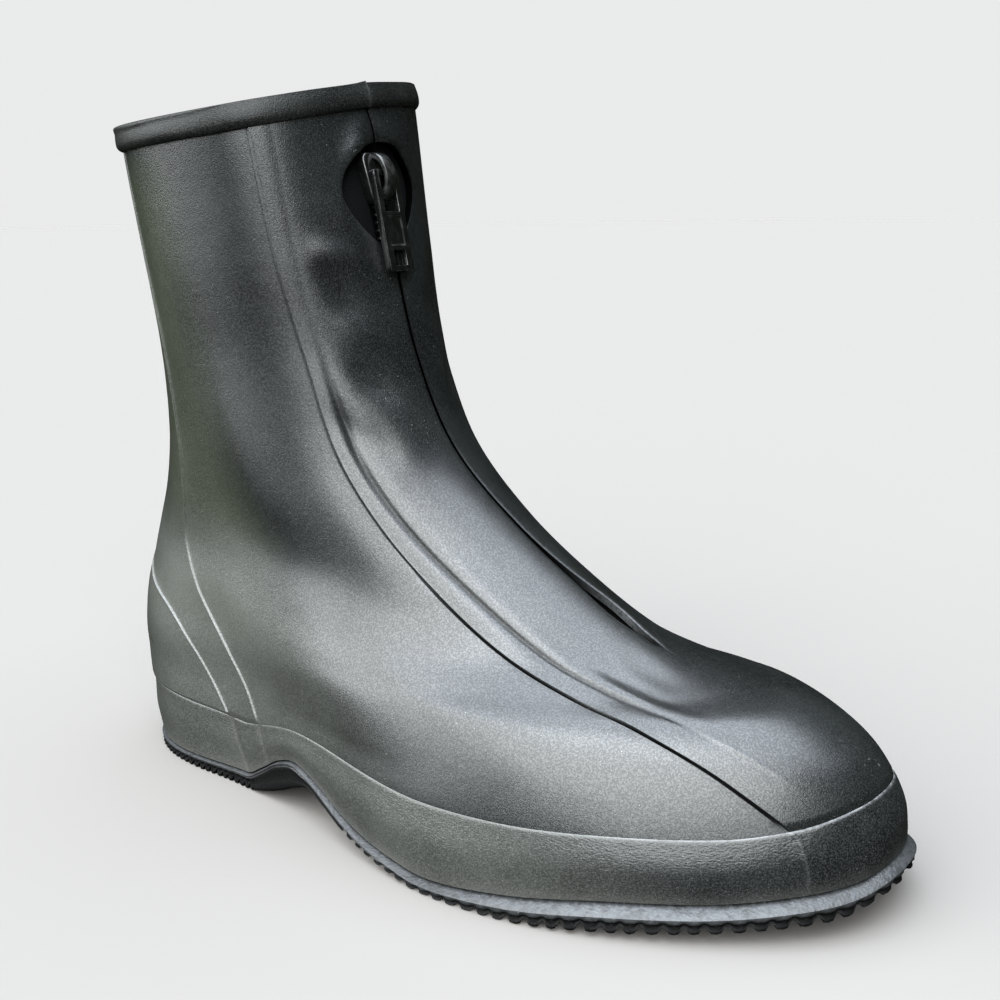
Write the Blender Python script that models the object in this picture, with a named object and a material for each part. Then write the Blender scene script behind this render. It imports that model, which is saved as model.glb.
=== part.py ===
"""Zip-front rubber overshoe for the right foot, as an assembly of its makers' pieces.

Frame: metres, +X toward the toe, +Y toward the medial (inner) side, +Z up.
The origin is the middle of the footprint's box, on the floor.
Sizes below are millimetres; placed() turns them into metres.
"""
import math
from collections import namedtuple
from functools import lru_cache

import bmesh
import bpy
import numpy as np
from mathutils import Matrix, Vector

MM = 0.001
CENTRE_X = -1.90
CENTRE_Y = -4.23

# Wall and overlay sizes
WALL = 2.0
GAP = 0.3
FOXING_OUT = 2.0
BAND_OUT = 2.0
PANEL_RISE = 0.7
STAY_RISE = 0.7
COUNTER_RISE = 0.6
STEP_RUN = 0.8
OVERLAY_START, OVERLAY_ROWS = 0.02, 0.05

# Sections of the last, from the feather edge (first row) to the rim (last row)
# back and front: where the section's line meets heel and front in side view
# heel_half and ball_half: half widths; ball_at, heel_round, toe_round: shares of the length
# back_power and front_power: 2 is round, more is squarer
# panel: front centre to panel seam; stay and counter: back centre to their seams, along the girth
Section = namedtuple("Section", "back_x back_z front_x front_z heel_half ball_half "
                     "ball_at heel_round toe_round back_power front_power panel stay counter")
SECTIONS = (
    Section(-151.0, 5.5, 148.5, 15.5, 37.5, 52.5, .62, .17, .34, 2.2, 2.2, 36.0, 110.0, 94.0),
    Section(-153.5, 16.0, 147.5, 26.0, 38.0, 53.5, .62, .17, .34, 2.2, 2.2, 36.5, 110.0, 93.0),
    Section(-154.5, 27.0, 145.0, 36.0, 39.0, 53.5, .63, .17, .35, 2.2, 2.2, 38.5, 108.0, 90.0),
    Section(-155.5, 38.5, 136.5, 49.5, 38.5, 51.0, .64, .18, .37, 2.2, 2.2, 48.0, 102.0, 81.0),
    Section(-155.0, 51.0, 120.5, 58.5, 38.5, 48.0, .65, .19, .41, 2.2, 2.2, 56.5, 92.5, 70.0),
    Section(-153.0, 64.0, 99.0, 62.0, 37.5, 45.0, .65, .21, .46, 2.2, 2.05, 56.5, 81.0, 54.0),
    Section(-148.5, 77.5, 74.0, 69.0, 37.0, 42.5, .63, .24, .50, 2.2, 2.05, 54.5, 68.0, 25.0),
    Section(-142.5, 93.5, 48.0, 83.0, 36.5, 41.5, .60, .28, .52, 2.2, 2.05, 52.0, 56.0, 17.0),
    Section(-135.0, 111.0, 18.5, 104.0, 37.0, 41.0, .56, .33, .52, 2.2, 2.05, 48.0, 49.5, 17.0),
    Section(-129.0, 133.0, -7.5, 129.5, 38.5, 42.0, .54, .38, .52, 2.2, 2.2, 43.5, 45.0, 17.0),
    Section(-126.0, 162.5, -22.0, 160.5, 42.0, 43.5, .52, .44, .52, 2.3, 2.35, 42.0, 42.5, 17.0),
    Section(-127.5, 198.5, -31.0, 197.5, 46.0, 47.0, .52, .48, .52, 2.4, 2.5, 45.0, 42.0, 17.0),
    Section(-129.0, 233.0, -40.5, 243.0, 49.0, 49.5, .52, .50, .50, 2.6, 2.8, 47.0, 42.0, 17.0),
    Section(-129.5, 241.5, -43.0, 251.0, 49.5, 49.5, .52, .50, .50, 2.6, 2.8, 47.0, 42.0, 17.0),
)
RIM_ROW = len(SECTIONS) - 1
BAND_ROW = RIM_ROW - 1
FOXING_ROW = 2.0
COUNTER_TOP_ROW = 6.4

# Curve of the foot seen from above: where the middle line lies at heel, ball and toe
HEEL_LINE, BALL_LINE, TOE_LINE = 7.5, -6.5, 9.5
LINE_FADE_ROWS = 12.0
HEEL_END, BALL_AT = 0.20, 0.62
SWELL_START = 0.6

# Stations along the sole from heel to toe, in side view
# edge: height of the feather edge; foxing: height of the foxing's top; floor: lowest face of the tread
# lip: how far the ledge reaches out; fall: how far it slopes down
Station = namedtuple("Station", "along edge foxing floor lip fall")
STATIONS = (
    Station(-157.0, 5.6, 29.2, 2.4, 0.8, 0.5),
    Station(-138.0, 5.1, 28.8, 0.2, 0.8, 0.5),
    Station(-128.0, 5.1, 28.4, 0.0, 0.8, 0.5),
    Station(-78.0, 6.6, 27.0, 0.0, 1.0, 0.6),
    Station(-68.0, 11.4, 28.6, 2.4, 1.0, 0.6),
    Station(-57.0, 17.7, 31.2, 6.4, 1.0, 0.6),
    Station(-46.0, 20.7, 33.0, 11.4, 1.0, 0.6),
    Station(-37.0, 19.0, 33.5, 14.2, 1.0, 0.7),
    Station(-28.0, 16.1, 33.4, 11.6, 1.2, 0.8),
    Station(-17.0, 11.7, 32.7, 7.3, 1.4, 1.0),
    Station(-5.0, 8.5, 31.7, 4.0, 1.6, 1.2),
    Station(10.0, 6.1, 30.5, 1.4, 1.9, 1.6),
    Station(22.0, 4.8, 30.0, 0.0, 2.2, 2.0),
    Station(52.0, 7.4, 30.0, 0.0, 2.6, 2.6),
    Station(84.0, 11.2, 30.8, 2.1, 3.0, 3.2),
    Station(112.0, 12.6, 31.6, 4.3, 3.2, 3.4),
    Station(130.0, 14.6, 34.0, 6.0, 3.2, 3.4),
    Station(143.0, 16.6, 38.0, 7.4, 3.0, 3.2),
    Station(156.0, 22.0, 42.5, 12.5, 2.6, 2.8),
)
WAVE_FADE_ROWS = 2.4
LEVEL_ROWS = 1.5

# Tilt of the rim down to the lateral side, as a slope at its back and front; part of it on the medial side
RIM_TILT_BACK, RIM_TILT_FRONT, RIM_TILT_MEDIAL = 0.10, 0.15, 0.6
RIM_TILT_ROWS = 2.5

# Front opening: zip slit, gape near its lower end and drop-shaped hole for the slider
ZIP_END_ROW = 6.0
SLIT_HALF = 0.8
SLIT_RAMP = 0.2
GAPE, GAPE_ROW, GAPE_ROWS = 1.4, 6.75, 0.35
LIP_LIFT, LIP_ROW, LIP_ROWS, LIP_GIRTH = 2.0, 6.9, 0.7, 8.0
HOLE_HALF, HOLE_TIP_Z, HOLE_MID_Z, HOLE_TOP_Z = 18.5, 194.0, 216.0, 231.5
HOLE_FLARE = 1.6
TAPE_HALF = 33.0
TAPE_THICK = 0.9
CHAIN_HALF, CHAIN_THICK, CHANNEL_CLEAR = 2.2, 1.7, 1.2

# Rows of the upper's mesh
FOOT_ROWS = (0, 1, 1.97, 2.07, 2.5, 3, 3.5, 4, 4.5, 5, 5.5, 6, 6.35, 6.7, 7.1,
             7.6, 8.1, 8.6, 9.1, 9.7, 10.3)
HOLE_LEVELS = (194, 197, 202, 208.5, 216, 222, 227, 230, 231.5)
CHAIN_TOP_Z = 227.0
TOP_ROWS = (12, 12.5, 13)

# Columns of the upper's mesh on one side: girths on the panel with their least way from the slit,
# then the number spread inside each of the other zones
FRONT_COLUMNS = (7.0, 20.0, 34.0)
FRONT_CLEAR = (2.0, 7.0, 14.0)
INSIDE = {"quarter": 9, "stay": 2, "counter": 4}
RING_SAMPLES = 241
HEIGHT_SAMPLES = 400

# Outsole: shares are of the thickness left between the seat and the tread
SOLE_SEAT = 0.5
LEDGE_SHARE, STRIP_EDGE, STRIP_SHARE = 0.34, 1.8, 0.28
SIDE_STEP, SIDE_STEP_FALL, FOOT_SHARE = 1.1, 0.4, 1 / 3
TUCK_IN, TUCK_SHARE, STEP_SHARE = 1.5, 1 / 3, 1 / 6
LUG_PITCH, LUG_LONG, LUG_DRAFT, LUG_DEEP, LUG_SHARE = 8.0, 4.7, 0.6, 2.4, 0.75
HEEL_BREAST_X, FORE_START_X = -78.0, -12.0
TIP_STEPS = (0.3, 1.2, 2.8, 5.0)
ARCH_STEP = 3.5

# Zip slider and pull, in the slider's own frame (across, out from the boot, up along the zip)
SLIDER_Z, SLIDER_ACROSS = 219.5, 1.0
BODY_WIDE, BODY_TALL = 14.0, 17.5
BODY_BACK, BODY_FRONT, BODY_TAPER, BODY_ROUND = -2.0, 1.1, 0.72, 0.6
BRIDGE_WIDE, BRIDGE_THICK, BRIDGE_RADIUS, BRIDGE_STRETCH = 5.0, 1.6, 5.3, 1.35
BRIDGE_UP, BRIDGE_SUNK, BRIDGE_STEPS = 0.5, 0.5, 10
PIN_OUT, PIN_UP = 3.1, 1.5
PULL_WIDE, PULL_LONG, PULL_THICK, PULL_ROUND = 12.6, 34.5, 2.4, 1.2
PULL_TOP, PULL_LEAN = 1.05, math.radians(-0.3)
SLOT_WIDE, SLOT_LONG = 7.6, 12.2
WINDOW_WIDE, WINDOW_LONG, WINDOW_FOOT = 6.0, 5.2, 2.0
CORNER_STEPS = 4

# Finish of each piece: colour, roughness, metallic
RUBBER = (0.030, 0.032, 0.033)
Finish = namedtuple("Finish", "colour roughness metallic")
FINISHES = {
    "upper": Finish(RUBBER, 0.50, 0.0),
    "foxing": Finish((0.026, 0.028, 0.029), 0.62, 0.0),
    "collar_band": Finish((0.034, 0.036, 0.036), 0.45, 0.0),
    "outsole": Finish((0.040, 0.041, 0.040), 0.70, 0.0),
    "zip_tape": Finish((0.010, 0.010, 0.011), 0.90, 0.0),
    "zip_chain": Finish((0.012, 0.012, 0.012), 0.40, 0.0),
    "zip_slider": Finish((0.015, 0.015, 0.015), 0.28, 0.6),
    "zip_pull": Finish((0.015, 0.015, 0.015), 0.28, 0.6),
}


def smooth(x):
    """Smooth step from 0 to 1."""
    x = np.clip(x, 0.0, 1.0)
    return x * x * (3.0 - 2.0 * x)


def bump(x, middle, width):
    """Bell of height 1 round a middle."""
    return np.exp(-((x - middle) / width) ** 2)


def section_at(row):
    """Section between the table's rows, on a smooth curve through them."""
    table = np.array(SECTIONS)
    lower = int(np.clip(math.floor(row), 0, RIM_ROW - 1))
    part = row - lower
    start, end = table[lower], table[lower + 1]
    before = table[lower - 1] if lower > 0 else 2 * start - end
    after = table[lower + 2] if lower + 2 <= RIM_ROW else 2 * end - start
    leave, arrive = (end - before) / 2, (after - start) / 2
    cube, square = part ** 3, part ** 2
    return Section(*((2 * cube - 3 * square + 1) * start + (cube - 2 * square + part) * leave
                     + (3 * square - 2 * cube) * end + (cube - square) * arrive))


def foot_line(share):
    """Sideways place of the foot's middle line at a share of its length."""
    to_ball = smooth((share - HEEL_END) / (BALL_AT - HEEL_END))
    to_toe = smooth((share - BALL_AT) / (1.0 - BALL_AT))
    return HEEL_LINE * (1 - to_ball) + BALL_LINE * to_ball * (1 - to_toe) + TOE_LINE * to_toe


def station_at(along, column):
    """Value of a column of the sole's stations, on a curve that never overshoots them."""
    table = np.array(STATIONS)
    places, values = table[:, 0], table[:, Station._fields.index(column)]
    steps = np.diff(places)
    slopes = np.diff(values) / steps
    product = slopes[:-1] * slopes[1:]
    total = np.where(product > 0, slopes[:-1] + slopes[1:], 1.0)
    turns = np.concatenate([[0.0], np.where(product > 0, 2 * product / total, 0.0), [0.0]])
    along = np.clip(along, places[0], places[-1])
    lower = np.clip(np.searchsorted(places, along) - 1, 0, len(steps) - 1)
    part = (along - places[lower]) / steps[lower]
    cube, square = part ** 3, part ** 2
    return ((2 * cube - 3 * square + 1) * values[lower] + (3 * square - 2 * cube) * values[lower + 1]
            + ((cube - 2 * square + part) * turns[lower]
               + (cube - square) * turns[lower + 1]) * steps[lower])


def straight_height(section, share):
    """Height on the straight line from a section's back to its front."""
    return section.back_z + (section.front_z - section.back_z) * share


def section_height(section, row, share, side):
    """Height of a section's line at a share of its length, with the sole's wave and the rim's tilt."""
    along = section.back_x + (section.front_x - section.back_x) * share
    low = station_at(along, "edge") - straight_height(SECTIONS[0], share)
    high = station_at(along, "foxing") - straight_height(SECTIONS[int(FOXING_ROW)], share)
    mix = min(row / FOXING_ROW, 1.0)
    wave = (low * (1 - mix) + high * mix) * (1 - smooth((row - FOXING_ROW) / WAVE_FADE_ROWS))
    slope = RIM_TILT_BACK + (RIM_TILT_FRONT - RIM_TILT_BACK) * share
    slope = slope * np.where(side < 0, 1.0, RIM_TILT_MEDIAL)
    tilt = side * slope * smooth((row - BAND_ROW + RIM_TILT_ROWS) / RIM_TILT_ROWS)
    return straight_height(section, share) + wave + tilt


def half_width(section, share):
    """Half width of a section at a share of its length."""
    start = SWELL_START * section.heel_round
    swell = smooth((share - start) / (section.ball_at - start))
    width = section.heel_half + (section.ball_half - section.heel_half) * swell
    back = np.clip(1 - share / section.heel_round, 0, 1)
    front = np.clip((share - 1 + section.toe_round) / section.toe_round, 0, 1)
    back_fall = (1 - back ** section.back_power) ** (1 / section.back_power)
    front_fall = (1 - front ** section.front_power) ** (1 / section.front_power)
    return width * back_fall * front_fall


class Ring:
    """One section as a closed loop, read by its signed girth from the front centre.

    Lateral girths are negative, medial ones positive.
    """

    def __init__(self, row):
        section = section_at(row)
        turn = np.linspace(-1.0, 1.0, 2 * RING_SAMPLES - 1)[:-1]
        share = (1 + np.cos(np.pi * turn)) / 2
        side = np.sign(turn) * half_width(section, share)
        line = (1 - smooth(row / LINE_FADE_ROWS)) * foot_line(share)
        along = section.back_x + (section.front_x - section.back_x) * share
        self.points = np.stack([along, line + side, section_height(section, row, share, side)], axis=1)
        steps = np.linalg.norm(np.roll(self.points, -1, axis=0) - self.points, axis=1)
        self.places = np.concatenate([[0.0], np.cumsum(steps)[:-1]])
        self.length = float(steps.sum())
        self.lateral = float(self.places[RING_SAMPLES - 1])
        self.medial = self.length - self.lateral

    def at(self, girth):
        """Point at a signed girth."""
        place = self.lateral + girth
        return np.array([np.interp(place, self.places, self.points[:, axis], period=self.length)
                         for axis in range(3)])

    def half(self, girth):
        """Half girth on the side of a signed girth."""
        return self.lateral if girth < 0 else self.medial


@lru_cache(maxsize=None)
def ring(row):
    """Ring at a row, kept for reuse."""
    return Ring(row)


def normal_at(row, girth):
    """Outward direction of the last, level at the feather edge, at a row and signed girth."""
    reach, lift = 0.4, 0.03
    below, above = max(row - lift, 0.0), min(row + lift, float(RIM_ROW))
    share = girth / ring(row).half(girth)
    around = ring(row).at(girth + reach) - ring(row).at(girth - reach)
    rise = (ring(above).at(share * ring(above).half(girth))
            - ring(below).at(share * ring(below).half(girth)))
    out = np.cross(around, rise)
    out[2] *= smooth(row / LEVEL_ROWS)
    return out / np.linalg.norm(out)


def on_last(row, girth, out):
    """Point at a distance out from the last's surface."""
    return ring(row).at(girth) + out * normal_at(row, girth)


def row_at_front_height(height):
    """Row whose front centre lies at a height on the shaft."""
    rows = np.linspace(ZIP_END_ROW, RIM_ROW, HEIGHT_SAMPLES)
    return float(np.interp(height, [section_at(row).front_z for row in rows], rows))


def slit_half(row):
    """Half width of the front opening at a row."""
    if row <= ZIP_END_ROW:
        return 0.0
    half = SLIT_HALF * smooth((row - ZIP_END_ROW) / SLIT_RAMP) + GAPE * bump(row, GAPE_ROW, GAPE_ROWS)
    height = section_at(row).front_z
    if HOLE_TIP_Z < height <= HOLE_MID_Z:
        share = (height - HOLE_TIP_Z) / (HOLE_MID_Z - HOLE_TIP_Z)
        half = max(half, HOLE_HALF * (1 - (1 - share) ** HOLE_FLARE))
    elif HOLE_MID_Z < height < HOLE_TOP_Z:
        share = (height - HOLE_MID_Z) / (HOLE_TOP_Z - HOLE_MID_Z)
        half = max(half, HOLE_HALF * math.sqrt(1 - share ** 2))
    return float(half)


def spread(zone):
    """Shares of the way across a zone where its inside columns lie."""
    return np.arange(1, INSIDE[zone] + 1) / (INSIDE[zone] + 1)


def side_columns(row, half):
    """Girths of one side's columns from the slit to the back, with each one's zone."""
    section = section_at(row)
    slit = slit_half(row)
    panel, stay, counter = section.panel, half - section.stay, half - section.counter
    run = STEP_RUN / 2
    columns = [(slit, "panel")]
    columns += [(max(girth, slit + clear), "panel") for girth, clear in zip(FRONT_COLUMNS, FRONT_CLEAR)]
    columns += [(panel - run, "panel"), (panel + run, "quarter")]
    eased = (1 - np.cos(np.pi * spread("quarter"))) / 2
    mixed = (eased + spread("quarter")) / 2
    columns += [(panel + run + (stay - panel - 2 * run) * share, "quarter") for share in mixed]
    columns += [(stay - run, "quarter"), (stay + run, "stay")]
    columns += [(stay + run + (counter - stay - 2 * run) * share, "stay") for share in spread("stay")]
    columns += [(counter - run, "stay"), (counter + run, "counter")]
    columns += [(counter + run + (half - counter - run) * share, "counter") for share in spread("counter")]
    columns.append((half, "counter"))
    return columns


def all_columns(row):
    """Signed girths and zones from the lateral back round the front to the medial back."""
    lateral = [(-girth, zone) for girth, zone in side_columns(row, ring(row).lateral)]
    return lateral[::-1] + side_columns(row, ring(row).medial)


def zone_rise(zone, row):
    """How far an overlay stands proud of the quarter at a row."""
    shown = float(smooth((row - FOXING_ROW - OVERLAY_START) / OVERLAY_ROWS))
    if zone == "panel":
        return PANEL_RISE * shown
    if zone == "stay":
        return STAY_RISE * shown
    if zone == "counter":
        return (STAY_RISE + COUNTER_RISE * float(smooth(COUNTER_TOP_ROW - row))) * shown
    return 0.0


def lip_rise(row, girth):
    """Lift of the medial flap's edge beside the lower end of the zip."""
    if girth < 0 or row <= ZIP_END_ROW:
        return 0.0
    return LIP_LIFT * float(bump(row, LIP_ROW, LIP_ROWS) * bump(girth, 0.0, LIP_GIRTH))


def upper_rows():
    """Rows of the upper's mesh from feather edge to rim."""
    return list(FOOT_ROWS) + [row_at_front_height(z) for z in HOLE_LEVELS] + list(TOP_ROWS)


def lattice(rows, columns_at, out_at):
    """Points on the last, a line for each row; out_at gives the distance out."""
    return np.array([[on_last(row, girth, out_at(row, girth, zone))
                      for girth, zone in columns_at(row)] for row in rows])


def placed(point):
    """World point in metres of a point in millimetres."""
    return Vector(((point[0] - CENTRE_X) * MM, (point[1] - CENTRE_Y) * MM, point[2] * MM))


def finish_material(name):
    """Principled material of one piece."""
    finish = FINISHES[name]
    material = bpy.data.materials.new(name + "_finish")
    material.use_nodes = True
    shader = material.node_tree.nodes["Principled BSDF"]
    shader.inputs["Base Color"].default_value = (*finish.colour, 1.0)
    shader.inputs["Roughness"].default_value = finish.roughness
    shader.inputs["Metallic"].default_value = finish.metallic
    return material


def add_piece(name, bm, collection, smooth_angle=35.0):
    """Named object from a bmesh, smooth shaded, with its finish."""
    mesh = bpy.data.meshes.new(name)
    bm.to_mesh(mesh)
    bm.free()
    mesh.shade_smooth()
    mesh.set_sharp_from_angle(angle=math.radians(smooth_angle))
    mesh.materials.append(finish_material(name))
    piece = bpy.data.objects.new(name, mesh)
    collection.objects.link(piece)
    return piece


def grid_sheet(bm, points):
    """Grid laid over a lattice of points, with each vertex's line and column kept."""
    lines, columns = points.shape[:2]
    line_of = bm.verts.layers.int.new("line")
    column_of = bm.verts.layers.int.new("column")
    bmesh.ops.create_grid(bm, x_segments=columns - 1, y_segments=lines - 1, size=1.0)
    for vert in bm.verts:
        vert[column_of] = round((vert.co.x + 1) / 2 * (columns - 1))
        vert[line_of] = round((vert.co.y + 1) / 2 * (lines - 1))
    for vert in bm.verts:
        vert.co = placed(points[vert[line_of], vert[column_of]])
    return line_of, column_of


def shell(name, outer, inner, collection, split=False):
    """Wall between two lattices: a sheet, welded where it meets itself, given its inner face.

    A split sheet has no faces between its two middle columns, so it stays open along the zip.
    """
    bm = bmesh.new()
    line_of, column_of = grid_sheet(bm, outer)
    if split:
        middle = {outer.shape[1] // 2 - 1, outer.shape[1] // 2}
        between = [face for face in bm.faces if {vert[column_of] for vert in face.verts} == middle]
        bmesh.ops.delete(bm, geom=between, context="FACES")
    bmesh.ops.remove_doubles(bm, verts=bm.verts[:], dist=1e-6)
    outside = set(bm.verts)
    bmesh.ops.solidify(bm, geom=bm.faces[:], thickness=GAP * MM)
    for vert in bm.verts:
        if vert not in outside:
            vert.co = placed(inner[vert[line_of], vert[column_of]])
    bmesh.ops.recalc_face_normals(bm, faces=bm.faces[:])
    return add_piece(name, bm, collection)


def make_upper(collection):
    """Hollow rubber upper, open at the collar, the zip and underneath."""
    rows = upper_rows()

    def outside(row, girth, zone):
        return zone_rise(zone, row) + lip_rise(row, girth)

    def inside(row, girth, zone):
        return lip_rise(row, girth) - WALL

    return shell("upper", lattice(rows, all_columns, outside),
                 lattice(rows, all_columns, inside), collection, split=True)


def make_overlay(name, rows, out, collection):
    """Band of constant thickness laid on the last between two rows."""
    return shell(name, lattice(rows, all_columns, lambda row, girth, zone: out),
                 lattice(rows, all_columns, lambda row, girth, zone: GAP), collection)


def make_collar_band(collection):
    """Rubber band round the rim, split at the zip, over the panel and stay."""
    rows = list(TOP_ROWS)
    tallest = max(PANEL_RISE, STAY_RISE)
    return shell("collar_band",
                 lattice(rows, all_columns, lambda row, girth, zone: tallest + BAND_OUT),
                 lattice(rows, all_columns, lambda row, girth, zone: zone_rise(zone, row) + GAP),
                 collection, split=True)


def tape_columns(row):
    """Girths across the zip tape: a channel for the chain, then the upper's own columns."""
    flat = CHAIN_HALF + CHANNEL_CLEAR
    side = [girth for girth, zone in side_columns(row, ring(row).medial)][1:3] + [TAPE_HALF]
    girths = [-girth for girth in side[::-1]] + [-flat, flat] + side
    return [(girth, "channel" if abs(girth) <= flat else "seat") for girth in girths]


def tape_depth(row, girth, zone):
    """Outer face of the tape, behind the wall or behind the chain."""
    return -WALL - GAP - (CHAIN_THICK + GAP if zone == "channel" else 0.0)


def zip_rows(low, high):
    """Rows of the upper between two rows, so that facets run parallel to it."""
    return [row for row in upper_rows() if low <= row <= high]


def make_zip_tape(collection):
    """Woven tape behind the slit, sewn to the inside of the front panel."""
    rows = zip_rows(ZIP_END_ROW, BAND_ROW)
    return shell("zip_tape", lattice(rows, tape_columns, tape_depth),
                 lattice(rows, tape_columns, lambda *place: tape_depth(*place) - TAPE_THICK), collection)


def make_zip_chain(collection):
    """Closed chain of the zip, a low bead on the tape."""
    rows = zip_rows(ZIP_END_ROW + SLIT_RAMP, row_at_front_height(CHAIN_TOP_Z))
    front = -WALL - GAP

    def across(row):
        return [(girth, "bead") for girth in (-CHAIN_HALF, 0.0, CHAIN_HALF)]

    return shell("zip_chain", lattice(rows, across, lambda row, girth, zone: front),
                 lattice(rows, across, lambda row, girth, zone: front - CHAIN_THICK), collection)


def sole_outline():
    """Lateral and medial edges of the sole's ledge, as (along, across) arrays."""
    loop = ring(0.0)
    girths = np.linspace(-loop.lateral, loop.medial, 4 * RING_SAMPLES)
    points = np.array([loop.at(girth)[:2] for girth in girths])
    tangent = np.gradient(points, axis=0)
    tangent /= np.linalg.norm(tangent, axis=1)[:, None]
    out = FOXING_OUT + station_at(points[:, :1], "lip")
    edge = points + out * np.stack([tangent[:, 1], -tangent[:, 0]], axis=1)
    front = int(np.argmax(edge[:, 0]))
    return edge[:front + 1], edge[front:][::-1]


def lug_stations(start, end):
    """Stations of a run of cross lugs: (along, depth of groove)."""
    stations = []
    for lug in range(int((end - start) // LUG_PITCH)):
        first = start + lug * LUG_PITCH
        stations += [(first, LUG_DEEP), (first + LUG_DRAFT, 0.0),
                     (first + LUG_LONG - LUG_DRAFT, 0.0), (first + LUG_LONG, LUG_DEEP)]
    return stations


def sole_stations(heel, tip):
    """Stations along the sole from heel to toe."""
    tips = [(heel + step, LUG_DEEP) for step in TIP_STEPS]
    arch = [(x, 0.0) for x in np.arange(HEEL_BREAST_X, FORE_START_X, ARCH_STEP)]
    toe = [(tip - step, LUG_DEEP) for step in TIP_STEPS[::-1]]
    back = lug_stations(heel + TIP_STEPS[-1] + LUG_PITCH - LUG_LONG, HEEL_BREAST_X)
    fore = lug_stations(FORE_START_X, tip - TIP_STEPS[-1])
    return tips + back + arch + fore + toe


def seat_line(side):
    """Foxing's lower edge on one side as it is faceted, back to front: (along, height) arrays."""
    girths = [girth for girth, zone in all_columns(0.0) if girth * side >= 0]
    points = np.array(sorted(on_last(0.0, girth, FOXING_OUT).tolist() for girth in girths))
    return points[:, 0], points[:, 2]


def side_profile(along, groove, top, wide):
    """Points of one side of the sole from its seat down to the tread: (way in, height)."""
    floor = station_at(along, "floor")
    thick = top - floor
    ledge = top - min(station_at(along, "fall"), thick * LEDGE_SHARE)
    strip = ledge - min(STRIP_EDGE, thick * STRIP_SHARE)
    recess = strip - SIDE_STEP_FALL
    bottom = floor + min(groove, (recess - floor) * LUG_SHARE)
    tuck = min(station_at(along, "lip") + TUCK_IN, wide * TUCK_SHARE)
    step = min(SIDE_STEP, wide * STEP_SHARE)
    return [(tuck, top), (0.0, ledge), (0.0, strip), (step, recess), (step * FOOT_SHARE, bottom)]


def make_outsole(collection):
    """Outsole: sloped ledge, edge strip, stepped side and cross lugs from heel to toe."""
    lateral, medial = sole_outline()
    lateral_seat, medial_seat = seat_line(-1), seat_line(1)
    heel, tip = float(lateral[0, 0]), float(lateral[-1, 0])
    lines = []
    for along, groove in sole_stations(heel, tip):
        out, back = np.interp(along, *lateral.T), np.interp(along, *medial.T)
        near = side_profile(along, groove, np.interp(along, *lateral_seat) - SOLE_SEAT, back - out)
        far = side_profile(along, groove, np.interp(along, *medial_seat) - SOLE_SEAT, back - out)
        loop = [(out + inward, height) for inward, height in near]
        loop += [(back - inward, height) for inward, height in far[::-1]]
        lines.append([(along, across, height) for across, height in loop + loop[:1]])
    bm = bmesh.new()
    grid_sheet(bm, np.array(lines))
    bmesh.ops.remove_doubles(bm, verts=bm.verts[:], dist=1e-6)
    bmesh.ops.holes_fill(bm, edges=[edge for edge in bm.edges if edge.is_boundary], sides=0)
    bmesh.ops.recalc_face_normals(bm, faces=bm.faces[:])
    return add_piece("outsole", bm, collection)


def slider_frame():
    """Slider's own frame at the front centre: across, out, up and its origin in metres."""
    row = row_at_front_height(SLIDER_Z)
    out = Vector(normal_at(row, 0.0))
    out.y = 0.0
    out.normalize()
    across = Vector((0.0, -1.0, 0.0))
    up = across.cross(out)
    frame = Matrix((across, out, up)).transposed().to_4x4()
    frame.translation = placed(ring(row).at(0.0)) + across * SLIDER_ACROSS * MM
    return frame


def box(bm, low, high):
    """Box between two corners in millimetres."""
    low, high = Vector(low), Vector(high)
    middle = Matrix.Translation((low + high) / 2 * MM)
    size = Matrix.Diagonal((*((high - low) * MM), 1.0))
    return bmesh.ops.create_cube(bm, size=1.0, matrix=middle @ size)["verts"]


def join(piece, other):
    """Boolean union of a second object into a piece, which then has one closed body."""
    union = piece.modifiers.new("union", "BOOLEAN")
    union.operation = "UNION"
    union.object = other
    bpy.context.view_layer.update()
    graph = bpy.context.evaluated_depsgraph_get()
    joined = bpy.data.meshes.new_from_object(piece.evaluated_get(graph))
    piece.modifiers.clear()
    piece.data = joined
    bpy.data.objects.remove(other)


def make_slider(collection, frame):
    """Slider body, wider at its nose, with the strap bridge that the pull swings under."""
    bm = bmesh.new()
    verts = box(bm, (-BODY_WIDE / 2, BODY_BACK, -BODY_TALL / 2), (BODY_WIDE / 2, BODY_FRONT, BODY_TALL / 2))
    for vert in verts:
        if vert.co.z < 0:
            vert.co.x *= BODY_TAPER
    bmesh.ops.bevel(bm, geom=bm.edges[:], offset=BODY_ROUND * MM, segments=2, profile=0.5,
                    affect="EDGES", material=-1)
    body = add_piece("zip_slider", bm, collection)
    bm = bmesh.new()
    inner, outer = BRIDGE_RADIUS - BRIDGE_THICK / 2, BRIDGE_RADIUS + BRIDGE_THICK / 2
    corners = [(-BRIDGE_WIDE / 2, inner), (BRIDGE_WIDE / 2, inner),
               (BRIDGE_WIDE / 2, outer), (-BRIDGE_WIDE / 2, outer)]
    face = bm.faces.new([bm.verts.new((x * MM, 0.0, z * MM)) for x, z in corners])
    bmesh.ops.spin(bm, geom=[face], cent=(0, 0, 0), axis=(1, 0, 0), angle=-math.pi, steps=BRIDGE_STEPS)
    stretch = Matrix.Diagonal((1.0, 1.0, BRIDGE_STRETCH, 1.0))
    seat = Matrix.Translation((0.0, (BODY_FRONT - BRIDGE_SUNK) * MM, BRIDGE_UP * MM))
    bmesh.ops.transform(bm, matrix=seat @ stretch, verts=bm.verts[:])
    bmesh.ops.recalc_face_normals(bm, faces=bm.faces[:])
    bridge = add_piece("zip_slider", bm, collection)
    join(body, bridge)
    body.matrix_world = frame
    return body


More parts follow.
